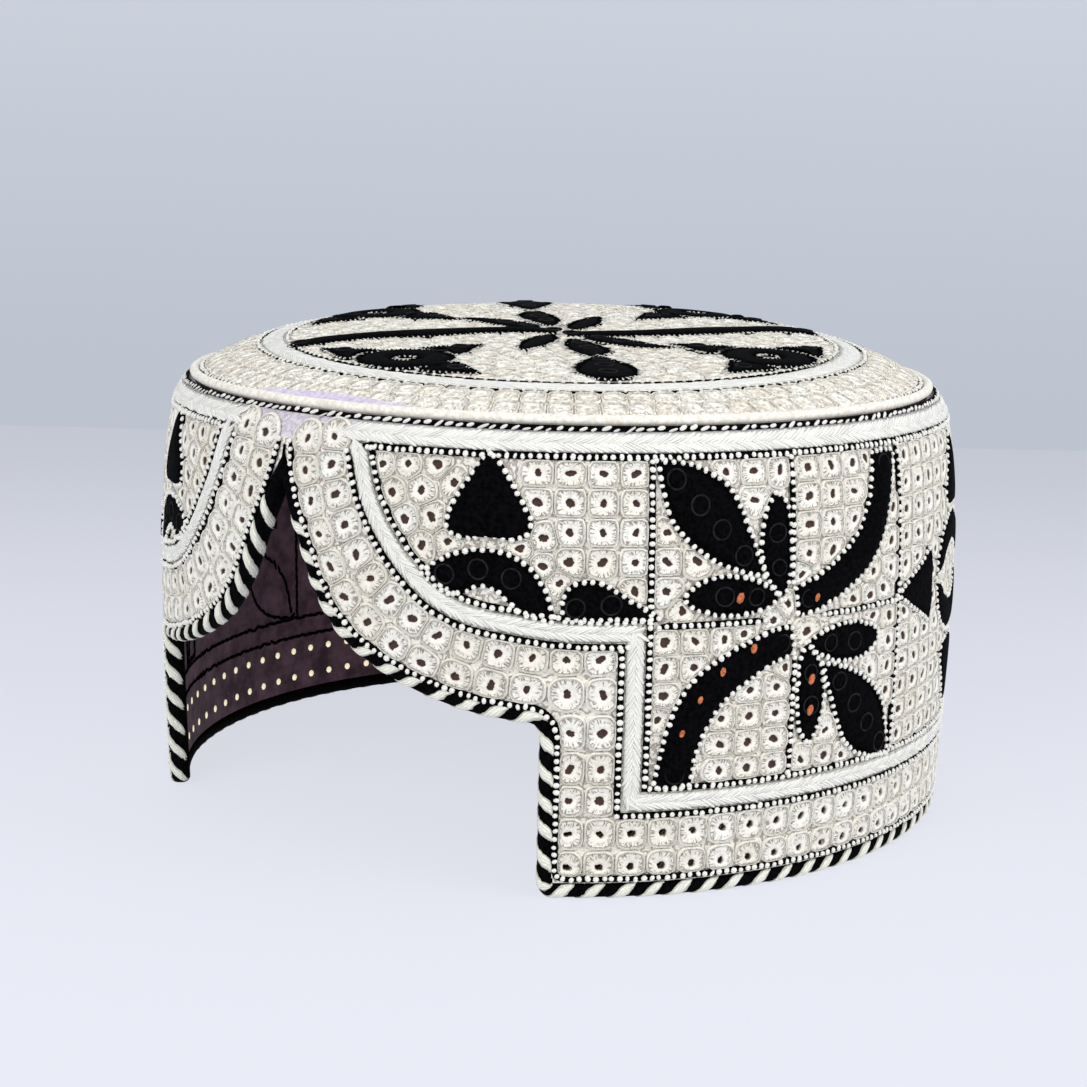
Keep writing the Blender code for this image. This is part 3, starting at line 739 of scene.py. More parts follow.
crown = {
    "ringDistance": 53, "ringRadii": (3.4, 9.8), "ringDirections": (-31, 51, 149, 231),
    "drops": (("front", (8, -35.6), (10.2, -59.4), 5.8), ("back", (-8, 35.6), (-10.2, 59.4), 5.8)),
    "wedges": (("inner", (0, -23.4), (0, -11.6), 5.1), ("left", (-21.8, 2), (-11.2, 2), 4.6),
               ("right", (21.8, 2), (11.2, 2), 4.6)),
    "lines": (82.5, 69.9, 63.3), "braidRadius": 66.6, "braidWidth": 4.8, "edge": 83.1,
    "rows": ((78.8, 92), (73.4, 86)),
}


def pointed(root, tip, halfWidth, shares):
    root, tip = np.array(root), np.array(tip)
    along = tip - root
    across = np.array((-along[1], along[0])) / np.linalg.norm(along) * halfWidth
    left = [root + along * t + across * w for t, w in shares]
    right = [root + along * t - across * w for t, w in shares]
    return [smoothed(np.array(s) * mm, 0.0006) for s in (left, right)]


dropShares = ((0, 0), (0.2, 0.42), (0.45, 0.84), (0.68, 1), (0.86, 0.82), (0.97, 0.4), (1, 0))
wedgeShares = ((0, 0), (0.35, 0.36), (0.7, 0.78), (0.98, 1), (1.04, 0.86), (0.93, 0.4), (0.9, 0))
flowerSides = []
for sides in crownFlower:
    flowerSides.append([smoothed(np.array(s) * mm) for s in sides])
    across = [[(2 * crownMiddle[0] - p[0], 2 * crownMiddle[1] - p[1]) for p in s] for s in sides]
    flowerSides.append([smoothed(np.array(s) * mm) for s in across])
crownLeaves["crown_flower"] = flowerSides
for name, root, tip, width in crown["drops"]:
    crownLeaves[f"crown_drop_{name}"] = [pointed(root, tip, width, dropShares)]
crownRings = []
for number, direction in enumerate(crown["ringDirections"], start=1):
    c, s = math.cos(math.radians(direction)), math.sin(math.radians(direction))

    def aboutRing(x, y):
        away = crown["ringDistance"] + y
        return (c * away + s * x, s * away - c * x)

    crownRings.append(np.array(aboutRing(0.0, 0.0)) * mm)
    for name, root, tip, width in crown["wedges"]:
        crownLeaves[f"crown_wedge_{number}_{name}"] = [
            pointed(aboutRing(*root), aboutRing(*tip), width, wedgeShares)]

free = {                           # room that cells leave, and how far apart they start
    "line": 0.00062, "leaf": 0.0010, "braid": 0.0026, "ring": 0.0010, "circle": 0.0005,
    "touch": 0.00004, "stride": 0.00008, "leastReach": 0.0007,
    "panel": (0.0014, 0.0045), "wall": (0.0012, 0.0043), "crown": (0.0012, 0.0049),
}


def treeOf(points):
    tree = kdtree.KDTree(len(points))
    for k, p in enumerate(points):
        tree.insert((p[0], p[1], 0.0), k)
    tree.balance()
    return tree


def blockers(lines, outlines):     # where no cell may lie, and the room each place needs
    spots, room = [], []
    for line, need in lines + [(ring, free["leaf"]) for ring in outlines]:
        made = resampled(line, 0.0006)
        spots += list(made)
        room += [need] * len(made)
    return treeOf(spots), room


def clearance(blocked, point):
    tree, room = blocked
    _, k, distance = tree.find((point[0], point[1], 0.0))
    return distance - room[k]


def inside(ring, point):
    x, y = ring[:, 0], ring[:, 1]
    a, b = y[:-1] > point[1], y[1:] > point[1]
    cross = a != b
    if not cross.any():
        return False
    x0, x1, y0, y1 = x[:-1][cross], x[1:][cross], y[:-1][cross], y[1:][cross]
    crossings = np.count_nonzero(point[0] < x0 + (point[1] - y0) / (y1 - y0) * (x1 - x0))
    return crossings % 2 == 1


def cellOutlines(centres, blocked):
    # how far each cell reaches in each direction: to its neighbours' middle lines or a blocker
    centres = np.asarray(centres)
    sides = repeats["cellSides"]
    directions = np.array([(math.cos(a), math.sin(a))
                           for a in np.arange(sides) * 2 * math.pi / sides])
    tree = treeOf(centres)
    reach = np.full((len(centres), sides), cell["largest"])
    for k, p in enumerate(centres):
        for _, other, distance in tree.find_n((p[0], p[1], 0.0), 9):
            if other == k:
                continue
            gap = centres[other] - p
            facing = directions @ gap
            ahead = facing > 1e-6
            limit = np.where(ahead, distance**2 / 2 / np.where(ahead, facing, 1), 1)
            reach[k] = np.minimum(reach[k], limit - cell["gap"])
        for d in range(sides):
            t = 0.0
            while t < reach[k, d]:
                room = clearance(blocked, p + directions[d] * t)
                if room < free["touch"]:
                    break
                t += max(room, free["stride"])
            reach[k, d] = min(reach[k, d], t)
        reach[k] = np.minimum(reach[k], reach[k].mean() * cell["corner"])
        rounded = (np.roll(reach[k], 1) + np.roll(reach[k], -1)) * 0.16 + reach[k] * 0.68
        reach[k] = np.minimum(reach[k], rounded * (1 + chance.normal(0, 0.012, sides)))
    return np.maximum(reach, free["leastReach"])


def layCells(name, shape, centres, reach, wrap, holeSizes=(0.00074, 0.00030), puff=1.0):
    points = shape[0]
    centres = np.asarray(centres)
    count, sides = len(centres), repeats["cellSides"]
    share = np.hypot(points[:, 0], points[:, 1])
    spoke = np.arctan2(points[:, 1], points[:, 0]) / (2 * math.pi) * sides
    spoke = np.rint(spoke).astype(int) % sides
    holeSize = holeSizes[0] + holeSizes[1] * chance.random(count)
    stretch = 0.34 * chance.random(count)
    lean = chance.random(count) * math.pi
    angle = np.arange(sides) * 2 * math.pi / sides
    hole = holeSize[:, None] * (1 + stretch[:, None] * np.cos(2 * (angle[None] - lean[:, None])))
    hole = np.minimum(hole * (1 + chance.normal(0, 0.10, hole.shape)), reach * 0.45)
    lip = cell["lip"][0]
    grow = (share - lip) / (1 - lip)
    away = np.where(
        share[None] > lip,
        hole[:, spoke] + (reach[:, spoke] - hole[:, spoke]) * grow[None],
        hole[:, spoke] * share[None] / lip)
    unit = points[:, :2] / np.maximum(share, 1e-9)[:, None]
    size = np.clip(reach.mean(1) / 0.0028, 0.5, 1.05) * puff
    laid = np.stack((
        centres[:, 0:1] + unit[None, :, 0] * away,
        centres[:, 1:2] + unit[None, :, 1] * away,
        points[None, :, 2] * size[:, None]), -1)
    return repeated(name, shape, laid, wrap)


# Cells of the wall's right half
eyelets = {
    "rows": (6.8, 13.8), "perHalfRow": 35, "firstTurn": 40.7,
    "holeRadius": 0.00092, "liningHole": 0.00062,
    "columns": ((40.7, (20.8, 27.3, 34.7)), (44.6, (20.8, 27.3, 34.7, 42.6))),
    "strip": ((3.9, 89.4), (4.2, 83.2), (5.5, 77.2), (7, 70.8), (8.9, 64.6), (11.1, 58.9),
              (14.5, 54.4), (18.1, 50.4), (21.9, 47.4), (26.3, 45.2), (30.8, 44.0), (35.2, 43.4),
              (40.2, 42.8)),
    "innerStrip": ((8.2, 90.4), (8.3, 85), (9.3, 79.2), (10.9, 73.4), (12.7, 67.7), (14.8, 63.3),
                   (17.5, 59.4), (20.6, 56.2), (23.9, 53.2), (27.7, 51.8), (31.6, 50.4),
                   (35.8, 49.8), (40.0, 49.6), (44.2, 49.8)),
    "frontPanel": ((15.6, 86.0), (19.3, 86.6), (23.2, 86.9), (17.4, 80.8), (21.3, 81.7),
                   (19.3, 75.8), (22.8, 76.6), (21.6, 70.9), (25.0, 72.0)),
    "panelRows": (86.2, 80.5, 74.8, 69.0, 63.2, 53.0, 47.6, 42.2, 36.8, 31.4, 26.0),
    "pitch": 3.68,
}
pitch = 180 - eyelets["firstTurn"]
pitch /= eyelets["perHalfRow"] - 0.5
rimTurns = [eyelets["firstTurn"] + pitch * k for k in range(eyelets["perHalfRow"])]
rimCells = flat([(t, h) for h in eyelets["rows"] for t in rimTurns])
wallCells = [flat([p])[0] for k in ("strip", "innerStrip", "frontPanel") for p in eyelets[k]]
for turn, column in eyelets["columns"]:
    wallCells += list(flat([(turn, h) for h in column]))

blockLines = [(line, free["line"]) for line in (*beadLines.values(), middleLine)]
blockLines.append((panelBraidHalf, free["braid"]))
wallRings = [outlineOf(s) for k in wallLeaves if k.endswith("right") for s in wallLeaves[k]]
wallBlocked = blockers(blockLines, wallRings)
panels = ((33.9, 50.2), (50.2, 69.7), (70.2, 90.2), (90.2, 135.0), (135.0, 157.4), (157.6, 180.0))
candidates = []
for start, end in panels:
    count = max(int(round((end - start) / eyelets["pitch"])), 1)
    for height in eyelets["panelRows"]:
        if start < 50 and height < 60:
            continue
        candidates += [(start + (end - start) * (k + 0.5) / count, height) for k in range(count)]


def addCells(cells, spots, blocked, rings, room, apart):    # wherever a cell still fits
    for p in spots:
        if clearance(blocked, p) < room or any(inside(r, p) for r in rings):
            continue
        if min((math.dist(p, q) for q in cells), default=1.0) < apart:
            continue
        cells.append(np.asarray(p))


addCells(wallCells, flat(candidates), wallBlocked, wallRings, *free["panel"])
spots = [(a, h) for a in np.arange(13.0, 180.0, 0.7) for h in np.arange(23.0, 89.0, 1.1)
         if not (a < 50 and h < 57)]
spots = flat([spots[k] for k in chance.permutation(len(spots))])


def inPanel(p):
    turn, height = math.degrees(p[0] / cap["flatRadius"]), p[1] / mm
    edge = np.interp(turn, [t for t, h in braid["start"]], [h for t, h in braid["start"]])
    return turn > 50.5 or height > edge + 2


addCells(wallCells, [p for p in spots if inPanel(p)], wallBlocked, wallRings, *free["wall"])
print(f"{len(wallCells)} cells on half the wall, {len(rimCells)} pierced")

allCells = np.vstack((rimCells, wallCells))
reach = cellOutlines(allCells, wallBlocked)
rimReach, wallReach = reach[: len(rimCells)], reach[len(rimCells):]


def bothHalves(points):
    return np.vstack((points, np.multiply(points, (-1, 1))))


def twoHalves(centres, reach):
    sides = repeats["cellSides"]
    opposite = (sides // 2 - np.arange(sides)) % sides
    return bothHalves(centres), np.vstack((reach, reach[:, opposite]))


pierced = twoHalves(rimCells, rimReach)
finished(layCells("piercedEyelets", openCell, *pierced, onWall, (0.00074, 0.00014)), lace)
finished(layCells("wallLace", closedCell, *twoHalves(wallCells, wallReach), onWall), lace)

# Cells of the crown
crownBlockLines = [(circle(r * mm, 0.001), free["circle"]) for r in crown["lines"]]
ringOutlines = [circle(crown["ringRadii"][1] * mm, 0.0006, c) for c in crownRings]
crownBlockLines += [(ring, free["ring"]) for ring in ringOutlines]
crownOutlines = [outlineOf(s) for sides in crownLeaves.values() for s in sides]
crownBlocked = blockers(crownBlockLines, crownOutlines)
crownOutlines += ringOutlines
crownCells = []
for radius, count in crown["rows"]:
    crownCells += [np.array((radius * math.cos(a), radius * math.sin(a))) * mm
                   for a in (np.arange(count) + 0.5 * (radius < 77)) * 2 * math.pi / count]
field = 62                         # half the crown's drawn middle, in millimetres
ticks = np.arange(-field, field, 1.1)
grid = [(x, y) for x in ticks for y in ticks if math.hypot(x, y) < field]
grid = np.array([grid[k] for k in chance.permutation(len(grid))]) * mm
addCells(crownCells, grid, crownBlocked, crownOutlines, *free["crown"])
print(f"{len(crownCells)} cells on the crown")
crownReach = cellOutlines(crownCells, crownBlocked)
crownHoles, crownPuff = (0.00034, 0.00016), 0.72
finished(layCells("crownLace", closedCell, crownCells, crownReach, onCrown, crownHoles, crownPuff),
         crownThread)

# Leaves, rings and the black line under each row of bead stitches
for node, allSides in {**wallLeaves, **crownLeaves}.items():
    wrap = onCrown if node.startswith("crown") else onWall
    words = node.split("_")
    name = words[0] + "".join(w.title() for w in words[1:])
    finished(leafPiece(name, allSides, wrap), blackThread, node)

for number, centre in enumerate(crownRings, start=1):
    piece, u, v = unitGrid(f"crownRing{number}", 40, 6)
    inner, outer = crown["ringRadii"]
    away, a = (inner + (outer - inner) * v) * mm, u * 2 * math.pi
    ring = columns(centre[0] + away * np.cos(a), centre[1] + away * np.sin(a), puffed(v))
    setPoints(piece, onCrown(ring))
    cleaned(piece)
    applied(piece, "SOLIDIFY", thickness=leaf["thickness"], offset=-1.0)
    finished(piece, blackThread, f"crown_ring_{number}")
print("leaves laid")

bead = {"pitch": 0.00162, "length": 0.00055, "width": 0.00066, "height": 0.00056,
        "lift": 0.00062, "leafPitch": 0.00172, "leafOffset": 0.00066, "astray": 0.0001,
        "swing": 0.28, "uneven": (0.12, 0.10, 0.08),
        "onCrown": (0.0023, 0.0004, 0.74)}    # pitch, lift and size
blackLine = {                      # width, height, lift, sides
    "wall": (0.0014, 0.0009, 0.00032, onWall, 8),
    "wallLeaf": (0.0012, 0.0009, 0.00032, onWall, 6),
    "crownLeaf": (0.0012, 0.0007, 0.0002, onCrown, 6),
    "crown": (0.0007, 0.0005, 0.0002, onCrown, 6),
    "leafOffset": 0.0003, "gap": ((0, 83), (0, 87.6)),
}


def alongLine(line, step, closed=False):
    # evenly stepped places with their directions
    points = resampled(line, step)
    ends = np.gradient(points, axis=0)
    if closed:
        ends[0] = ends[-1] = points[1] - points[-2]
        points, ends = points[:-1], ends[:-1]
    return points, np.arctan2(ends[:, 1], ends[:, 0])


def beadPlaces(line, closed=False, step=bead["pitch"], lift=bead["lift"], scale=1.0):
    points, angles = alongLine(line, step, closed)
    jitter = chance.normal(0, 1, (len(points), 6))
    size = [bead[k] * scale for k in ("length", "width", "height")]
    return columns(points + jitter[:, :2] * bead["astray"], angles + jitter[:, 2] * bead["swing"],
                   size * (1 + jitter[:, 3:] * bead["uneven"]), lift)


def grown(ring, offset):           # a closed outline moved outwards
    closed = np.vstack((ring[-2:-1], ring, ring[1:2]))
    area = np.sum(ring[:-1, 0] * ring[1:, 1] - ring[1:, 0] * ring[:-1, 1])
    steps = np.diff(closed, axis=0)
    left = np.stack((-steps[:, 1], steps[:, 0]), 1)
    left /= np.maximum(np.linalg.norm(left, axis=1), 1e-9)[:, None]
    turn = left[:-1] + left[1:]
    size = np.maximum((turn**2).sum(1), 0.9)
    return ring + turn * (-2 * math.copysign(offset, area) / size)[:, None]


def leafLines(leafSets, rings, offset):
    lines = [resampled(grown(outlineOf(s), offset), 0.0009)
             for sides in leafSets.values() for s in sides]
    for centre in rings:
        lines.append(circle(crown["ringRadii"][1] * mm + offset, 0.0012, centre))
        lines.append(circle(crown["ringRadii"][0] * mm - offset, 0.0012, centre))
    return lines


away = blackLine["leafOffset"]
straight = [*halves(beadLines.values()), middleLine]
wallLines = [resampled(line, 0.0016) for line in straight[:-1]]
wallLines += [middleLine, flat(blackLine["gap"])]
crownLines = [circle(r * mm, 0.002) for r in crown["lines"]]
for name, key, lines in (
        ("wallBlackLines", "wall", wallLines),
        ("wallLeafEdges", "wallLeaf", leafLines(wallLeaves, [], away)),
        ("crownLeafEdges", "crownLeaf", leafLines(crownLeaves, crownRings, away)),
        ("crownBlackLines", "crown", crownLines)):
    finished(thread(name, lines, *blackLine[key]), blackThread)

aroundLeaves = leafLines(wallLeaves, [], bead["leafOffset"])
for name, wrap, lines, *how in (
        ("wallBeads", onWall, straight),
        ("wallLeafBeads", onWall, aroundLeaves, True, bead["leafPitch"]),
        ("crownBeads", onCrown, crownLines, True, *bead["onCrown"])):
    beads = np.vstack([beadPlaces(line, *how) for line in lines])
    finished(layCopies(name, beadShape, beads, wrap), beadThread)

# Spiky stitches round the crown's leaves: pitch, distance from the leaf, length, thickness, lift
teeth = {"crownTeeth": (blackThread, 0.0010, 0.0006, 0.00085, 0.00026, 0.00055),
         "crownTeethWhite": (beadThread, 0.0013, 0.0011, 0.00060, 0.00022, 0.00055)}
for name, (material, pitch, offset, long, thick, lift) in teeth.items():
    places = []
    for line in leafLines(crownLeaves, crownRings, offset):
        points, angles = alongLine(line, pitch, True)
        a, b, c = chance.normal(0, 1, (len(points), 3)).T
        places.append(columns(points, angles + math.pi / 2 + 0.35 * a, long * (1 + 0.3 * b),
                              thick * (1 + 0.2 * c), thick, lift))
    finished(layCopies(name, smallStitch, np.vstack(places), onCrown), material)
print("bead stitches laid")

# Braids: a padded strip under two rows of slanting satin stitches
plait = {"pitch": 0.00125, "lean": math.radians(25), "width": 0.00046, "reach": 0.60,
         "height": 0.00046, "lift": 0.00070, "offCentre": 0.20, "base": 0.00104,
         "baseLift": 0.0003}


def plaitPlaces(line, width, closed=False, flatness=1.0):
    points, angles = alongLine(line, plait["pitch"], closed)
    rows = []
    for side in (1, -1):
        move = side * width * plait["offCentre"]
        shift = 0.5 * plait["pitch"] * (side > 0)
        a, b, c, d = chance.normal(0, 1, (len(points), 4)).T
        rows.append(columns(
            points[:, 0] - np.sin(angles) * move + np.cos(angles) * shift,
            points[:, 1] + np.cos(angles) * move + np.sin(angles) * shift,
            angles + side * plait["lean"] + a * 0.07, width * plait["reach"] * (1 + 0.05 * b),
            plait["width"] * (1 + 0.08 * c), flatness * plait["height"] * (1 + 0.08 * d),
            flatness * plait["lift"]))
    return np.vstack(rows)


def braidPiece(name, line, width, wrap, node, closed=False, flatness=1.0):
    base = thread(name + "Base", [resampled(line, 0.002)], width * 0.98, flatness * plait["base"],
                  flatness * plait["baseLift"], wrap)
    base.data.uv_layers[0].name = "local"
    stitches = layCopies(name, stitchShape, plaitPlaces(line, width, closed, flatness), wrap)
    finished(joined(name, [stitches, base]), whiteThread, node)


full = 2 * half
panelLine = np.vstack((panelBraidHalf, (full, 0) + mirrored(panelBraidHalf)[1:]))
braidPiece("panelBraid", panelLine, braid["width"] * mm, onWall, "panel_braid")
topLine = flat([(a, braid["topHeight"]) for a in (braid["topStart"], 360 - braid["topStart"])])
braidPiece("topBraid", topLine, braid["topWidth"] * mm, onWall, "top_braid")
crownLine = circle(crown["braidRadius"] * mm, 0.002)
braidPiece("crownBraid", crownLine, crown["braidWidth"] * mm, onCrown, "crown_braid", True, 0.5)
print("braids laid")

# Seam: a smooth cream roll, and under it a black line crossed by slanting white stitches
seam = {"rollRadius": 0.0844, "rollHeight": 0.0959, "rollThickness": 0.0011,
        "lineHeight": 94.5, "line": (0.0011, 0.0009, 0.0002), "stitchPitch": 0.0023,
        "stitchLean": 0.32, "stitchLength": 0.00092, "stitchWidth": 0.00036,
        "stitchHeight": 0.0003, "stitchLift": 0.00062, "astray": 0.00012}
piece, u, v = unitGrid("crownPiping", 260, 10)
a, b = u * 2 * math.pi, v * 2 * math.pi
away = seam["rollRadius"] + seam["rollThickness"] * np.cos(b)
height = seam["rollHeight"] + seam["rollThickness"] * np.sin(b)
setPoints(piece, columns(away * np.cos(a), away * np.sin(a), height))
cleaned(piece)
finished(piece, creamRoll, "crown_piping")
seamLine = flat([(a, seam["lineHeight"]) for a in (-180, 180)])
finished(thread("seamLine", [resampled(seamLine, 0.002)], *seam["line"], onWall, 6), blackThread)
points, angles = alongLine(seamLine, seam["stitchPitch"])
jitter = chance.normal(0, 1, (len(points), 3))
a, b, c = jitter.T
places = columns(points + jitter[:, :2] * seam["astray"], angles + seam["stitchLean"] + 0.12 * c,
                 seam["stitchLength"] * (1 + 0.18 * a), seam["stitchWidth"] * (1 + 0.15 * b),
                 seam["stitchHeight"], seam["stitchLift"])
finished(layCopies("seamStitches", stitchShape, places, onWall), beadThread)

# Cloth of the wall and its lining: flat slabs cut by the opening and the eyelets, then wrapped
wall = {"bottom": 3.3, "top": 93.9, "thickness": 0.0020, "liningTop": 92.5,
        "liningThickness": 0.0008, "liningLift": -0.0024, "binding": 3.3, "cutAbove": 0.004,
        "cut": 0.01}
pins = bothHalves(rimCells)
bpy.ops.mesh.primitive_cylinder_add(vertices=10, radius=1, depth=2)
pinShape = dropped(bpy.context.object)


def notchCutter():
    edge = halfEdge[halfEdge[:, 1] > wall["cutAbove"]]
    edge = beside(np.vstack((mirrored(edge)[:-1], edge)), wall["binding"] * mm)
    edge = np.vstack(((edge[0, 0], -wall["cut"]), edge, (edge[-1, 0], -wall["cut"])))
    count = len(edge)
    k = np.arange(count)
    after = (k + 1) % count
    cutter = newPiece(
        "notchCutter", np.vstack([columns(edge, z) for z in (-wall["cut"], wall["cut"])]),
        np.concatenate((k[::-1], count + k, columns(k, after, count + after, count + k).ravel())),
        np.concatenate(((0, count), 2 * count + 4 * k)))
    cleaned(cutter, 0.000001)
    return cutter


def slab(name, top, thickness, lift, pinRadius, material, node):
    piece, u, v = unitGrid(name, 300, 18)
    height = (wall["bottom"] + (top - wall["bottom"]) * v) * mm
    setPoints(piece, columns((u - 0.5) * full, height, 0.0))
    applied(piece, "SOLIDIFY", thickness=thickness, offset=-1.0)
    places = columns(pins, 0.0, pinRadius, pinRadius, wall["cut"], 0.0)
    for tool in (notchCutter(), layCopies("pins", pinShape, places, lambda p: p)):
        applied(piece, "BOOLEAN", operation="DIFFERENCE", solver="EXACT", object=tool)
        bpy.data.objects.remove(tool, do_unlink=True)
    # the faces where the slab's two ends meet are taken away before it is wrapped
    points = readMesh(piece.data)[0]
    only(piece)
    bpy.ops.object.mode_set(mode="EDIT")
    bpy.ops.mesh.select_all(action="DESELECT")
    bpy.ops.object.mode_set(mode="OBJECT")
    for face in piece.data.polygons:
        face.select = all(abs(abs(points[k, 0]) - half) < 1e-5 for k in face.vertices)
    bpy.ops.object.mode_set(mode="EDIT")
    bpy.ops.mesh.delete(type="FACE")
    bpy.ops.object.mode_set(mode="OBJECT")
    points = readMesh(piece.data)[0]
    points[:, 2] += lift
    setPoints(piece, onWall(points))
    cleaned(piece)
    only(piece)
    bpy.ops.object.shade_smooth_by_angle(angle=math.radians(35))
    return finished(piece, material, node)


slab("sideWall", wall["top"], wall["thickness"], 0.0, eyelets["holeRadius"], ground, "side_wall")
sideLining = slab("sideLining", wall["liningTop"], wall["liningThickness"], wall["liningLift"],
                  eyelets["liningHole"], lining, "side_lining")
print("wall and lining cut")

crownSheets = {"thickness": 0.0020, "liningRadius": 0.0805, "liningLift": -0.0026,
               "liningThickness": 0.0008}


def discPiece(name, radius, lift, thickness, material, node):
    piece, u, v = unitGrid(name, 120, 20)
    a, away = u * 2 * math.pi, radius * np.sqrt(v)
    setPoints(piece, onCrown(columns(away * np.cos(a), away * np.sin(a), lift)))
    cleaned(piece)
    faceUp(piece)
    applied(piece, "SOLIDIFY", thickness=thickness, offset=-1.0)
    return finished(piece, material, node)


discPiece("crownCloth", crown["edge"] * mm, 0.0, crownSheets["thickness"], crownGround, "crown")
crownLining = discPiece("crownLining", crownSheets["liningRadius"], crownSheets["liningLift"],
                        crownSheets["liningThickness"], lining, "crown_lining")

# Worn place on the crown's edge, where the ground cloth is bare
worn = {"from": -140, "turn": 31, "edge": 0.0829, "width": 0.0026, "lift": 0.0006, "rise": 0.0002,
        "thickness": 0.0003}
patch, u, v = unitGrid("wornPatch", 40, 4)
a = np.radians(worn["from"] + worn["turn"] * u)
away = worn["edge"] - worn["width"] * (1 - (2 * u - 1) ** 2) * (1 - v)
lift = worn["lift"] + worn["rise"] * (1 - v)
setPoints(patch, onCrown(columns(away * np.cos(a), away * np.sin(a), lift)))
applied(patch, "SOLIDIFY", thickness=worn["thickness"], offset=-1.0)
finished(patch, lavender)

# Binding: a folded black strip round the rim and the opening, wound with ivory stitches
binding = {
    "width": 0.0030, "stations": 640,
    # share of the way from the edge to the cloth, lift off the wall's outer face
    "fold": ((0.00, -0.0016), (0.03, -0.0007), (0.14, 0.0000), (0.38, 0.00045), (0.75, 0.00045),
             (0.98, 0.00015), (1.00, -0.0008), (1.00, -0.0034), (0.75, -0.0037), (0.38, -0.0037),
             (0.12, -0.0031), (0.02, -0.0024)),
}
stripe = {
    "pitch": 0.0060, "width": 0.0027, "lean": 0.0068, "bulge": 0.0003, "sunk": 0.0001,
    "thickness": 0.00015, "astray": 0.00022, "fray": 0.0001, "columns": 16, "rows": 6,
    "beforeCorner": 0.0012, "shift": 0.0036, "blackAfter": 0.0040, "blackBefore": 0.0109,
    "over": ((0.10, -0.0030), (0.01, -0.0024), (-0.02, -0.0016), (0.03, -0.0006), (0.14, 0.0001),
             (0.38, 0.00055), (0.75, 0.00055), (0.97, 0.00030), (1.03, -0.0002)),
}
rimLine = columns(np.linspace(halfEdge[-1, 0], full - halfEdge[-1, 0], 330), 0.0)
edgeLoop = np.vstack((halfEdge, rimLine[1:-1], (full, 0) + mirrored(halfEdge)))
# the strip's cloth side is measured with the peak between its two neighbours
around = np.vstack((edgeLoop[-2:-1] - (full, 0), edgeLoop, edgeLoop[1:2] + (full, 0)))
clothSide = beside(around, binding["width"])[1:-1]
along = distancesAlong(edgeLoop)
length = along[-1]


def onBinding(distance, share, lift):
    edge, cloth = (pointsAt(distance % length, along, line) for line in (edgeLoop, clothSide))
    return onWall(columns(edge + (cloth - edge) * share[:, None], lift))


fold = np.array(binding["fold"] + binding["fold"][:1])
piece, u, v = unitGrid("rimBinding", binding["stations"], len(fold) - 1)
k = np.rint(v * (len(fold) - 1)).astype(int)
setPoints(piece, onBinding(u * length * (1 - 1e-9), fold[k, 0], fold[k, 1]))
cleaned(piece)
finished(piece, blackThread, "rim_binding")

over = np.array(stripe["over"])
stripes = []
count = int(round(length / stripe["pitch"]))
# the stripes start where the step's corner stays black
corner = math.radians(notch["side"]) * cap["flatRadius"] - stripe["beforeCorner"]
first = np.interp(corner, edgeLoop[:60, 0], along[:60]) - stripe["shift"]
for k in range(count):
    start = (first + length * k / count + chance.normal(0, stripe["astray"])) % length
    if not stripe["blackAfter"] < start < length - stripe["blackBefore"]:
        continue                   # black where the binding's ends meet
    piece, u, v = unitGrid("stripe", stripe["columns"], stripe["rows"])
    row = u * (len(over) - 1)
    share, lift = pointsAt(row, range(len(over)), over).T
    taper = 1 - 0.75 * np.abs(2 * u - 1) ** 5
    across = (v - 0.5) * stripe["width"] * (1 + chance.normal(0, 0.10)) * taper
    across += chance.normal(0, stripe["fray"], len(u)) + start + u * stripe["lean"]
    lift += stripe["bulge"] * np.sqrt(np.maximum(1 - (2 * v - 1) ** 2, 0)) - stripe["sunk"]
    setPoints(piece, onBinding(across, share, lift))
    stripes.append(piece)
piece = joined("bindingStripes", stripes)
piece.data.uv_layers[0].name = "local"
applied(piece, "SOLIDIFY", thickness=stripe["thickness"], offset=-1.0)
piece.data.shade_smooth()
finished(piece, ivoryThread)
print("binding wound")

# Small things: faint rings on the leaves, orange spots of painted light, back stitches on the
# lining
# painted light: small orange beads stand in for light showing through holes in the leaves
spotsOfOrange = ((61.8, 61.3), (73.3, 60), (63.9, 50.7), (59.7, 46.5), (56.8, 41.2), (54.6, 34.5),
                 (73.0, 43.0), (73.0, 36.5))
orangeSize = 0.00125, 0.00078, 0.00045, 0.00105    # length, width, height, lift
places = [(*flat([p])[0] * (side, 1), math.pi / 2 - 0.35 * side, *orangeSize)
          for p in spotsOfOrange for side in (1, -1)]
finished(layCopies("orangeSpots", beadShape, places, onWall), orangeThread)

faintRing = {"stations": 40, "leastWidth": 0.0050, "apart": 0.0066, "margin": 0.0008,
             "largest": 0.0020, "height": 0.0020, "lift": 0.00098}


def ringPlaces(leafSets):
    places = []
    at = np.linspace(0, 1, faintRing["stations"])
    for sides in (s for allSides in leafSets.values() for s in allSides):
        left, right = (pointsAt(at, np.linspace(0, 1, len(side)), side)
                       for side in (resampled(s, 0.0008) for s in sides))
        last = None
        for p, width in zip((left + right) / 2, np.linalg.norm(left - right, axis=1)):
            near = last is not None and np.linalg.norm(p - last) < faintRing["apart"]
            if near or width < faintRing["leastWidth"]:
                continue
            last = p
            size = min(width / 2 - faintRing["margin"], faintRing["largest"])
            places.append((*p, chance.random() * 3, size, size * 0.94, faintRing["height"],
                           faintRing["lift"]))
    return places


for name, leafSets, wrap in (("wallLeafRings", wallLeaves, onWall),
                             ("crownLeafRings", crownLeaves, onCrown)):
    finished(layCopies(name, ringShape, ringPlaces(leafSets), wrap), blackRing)

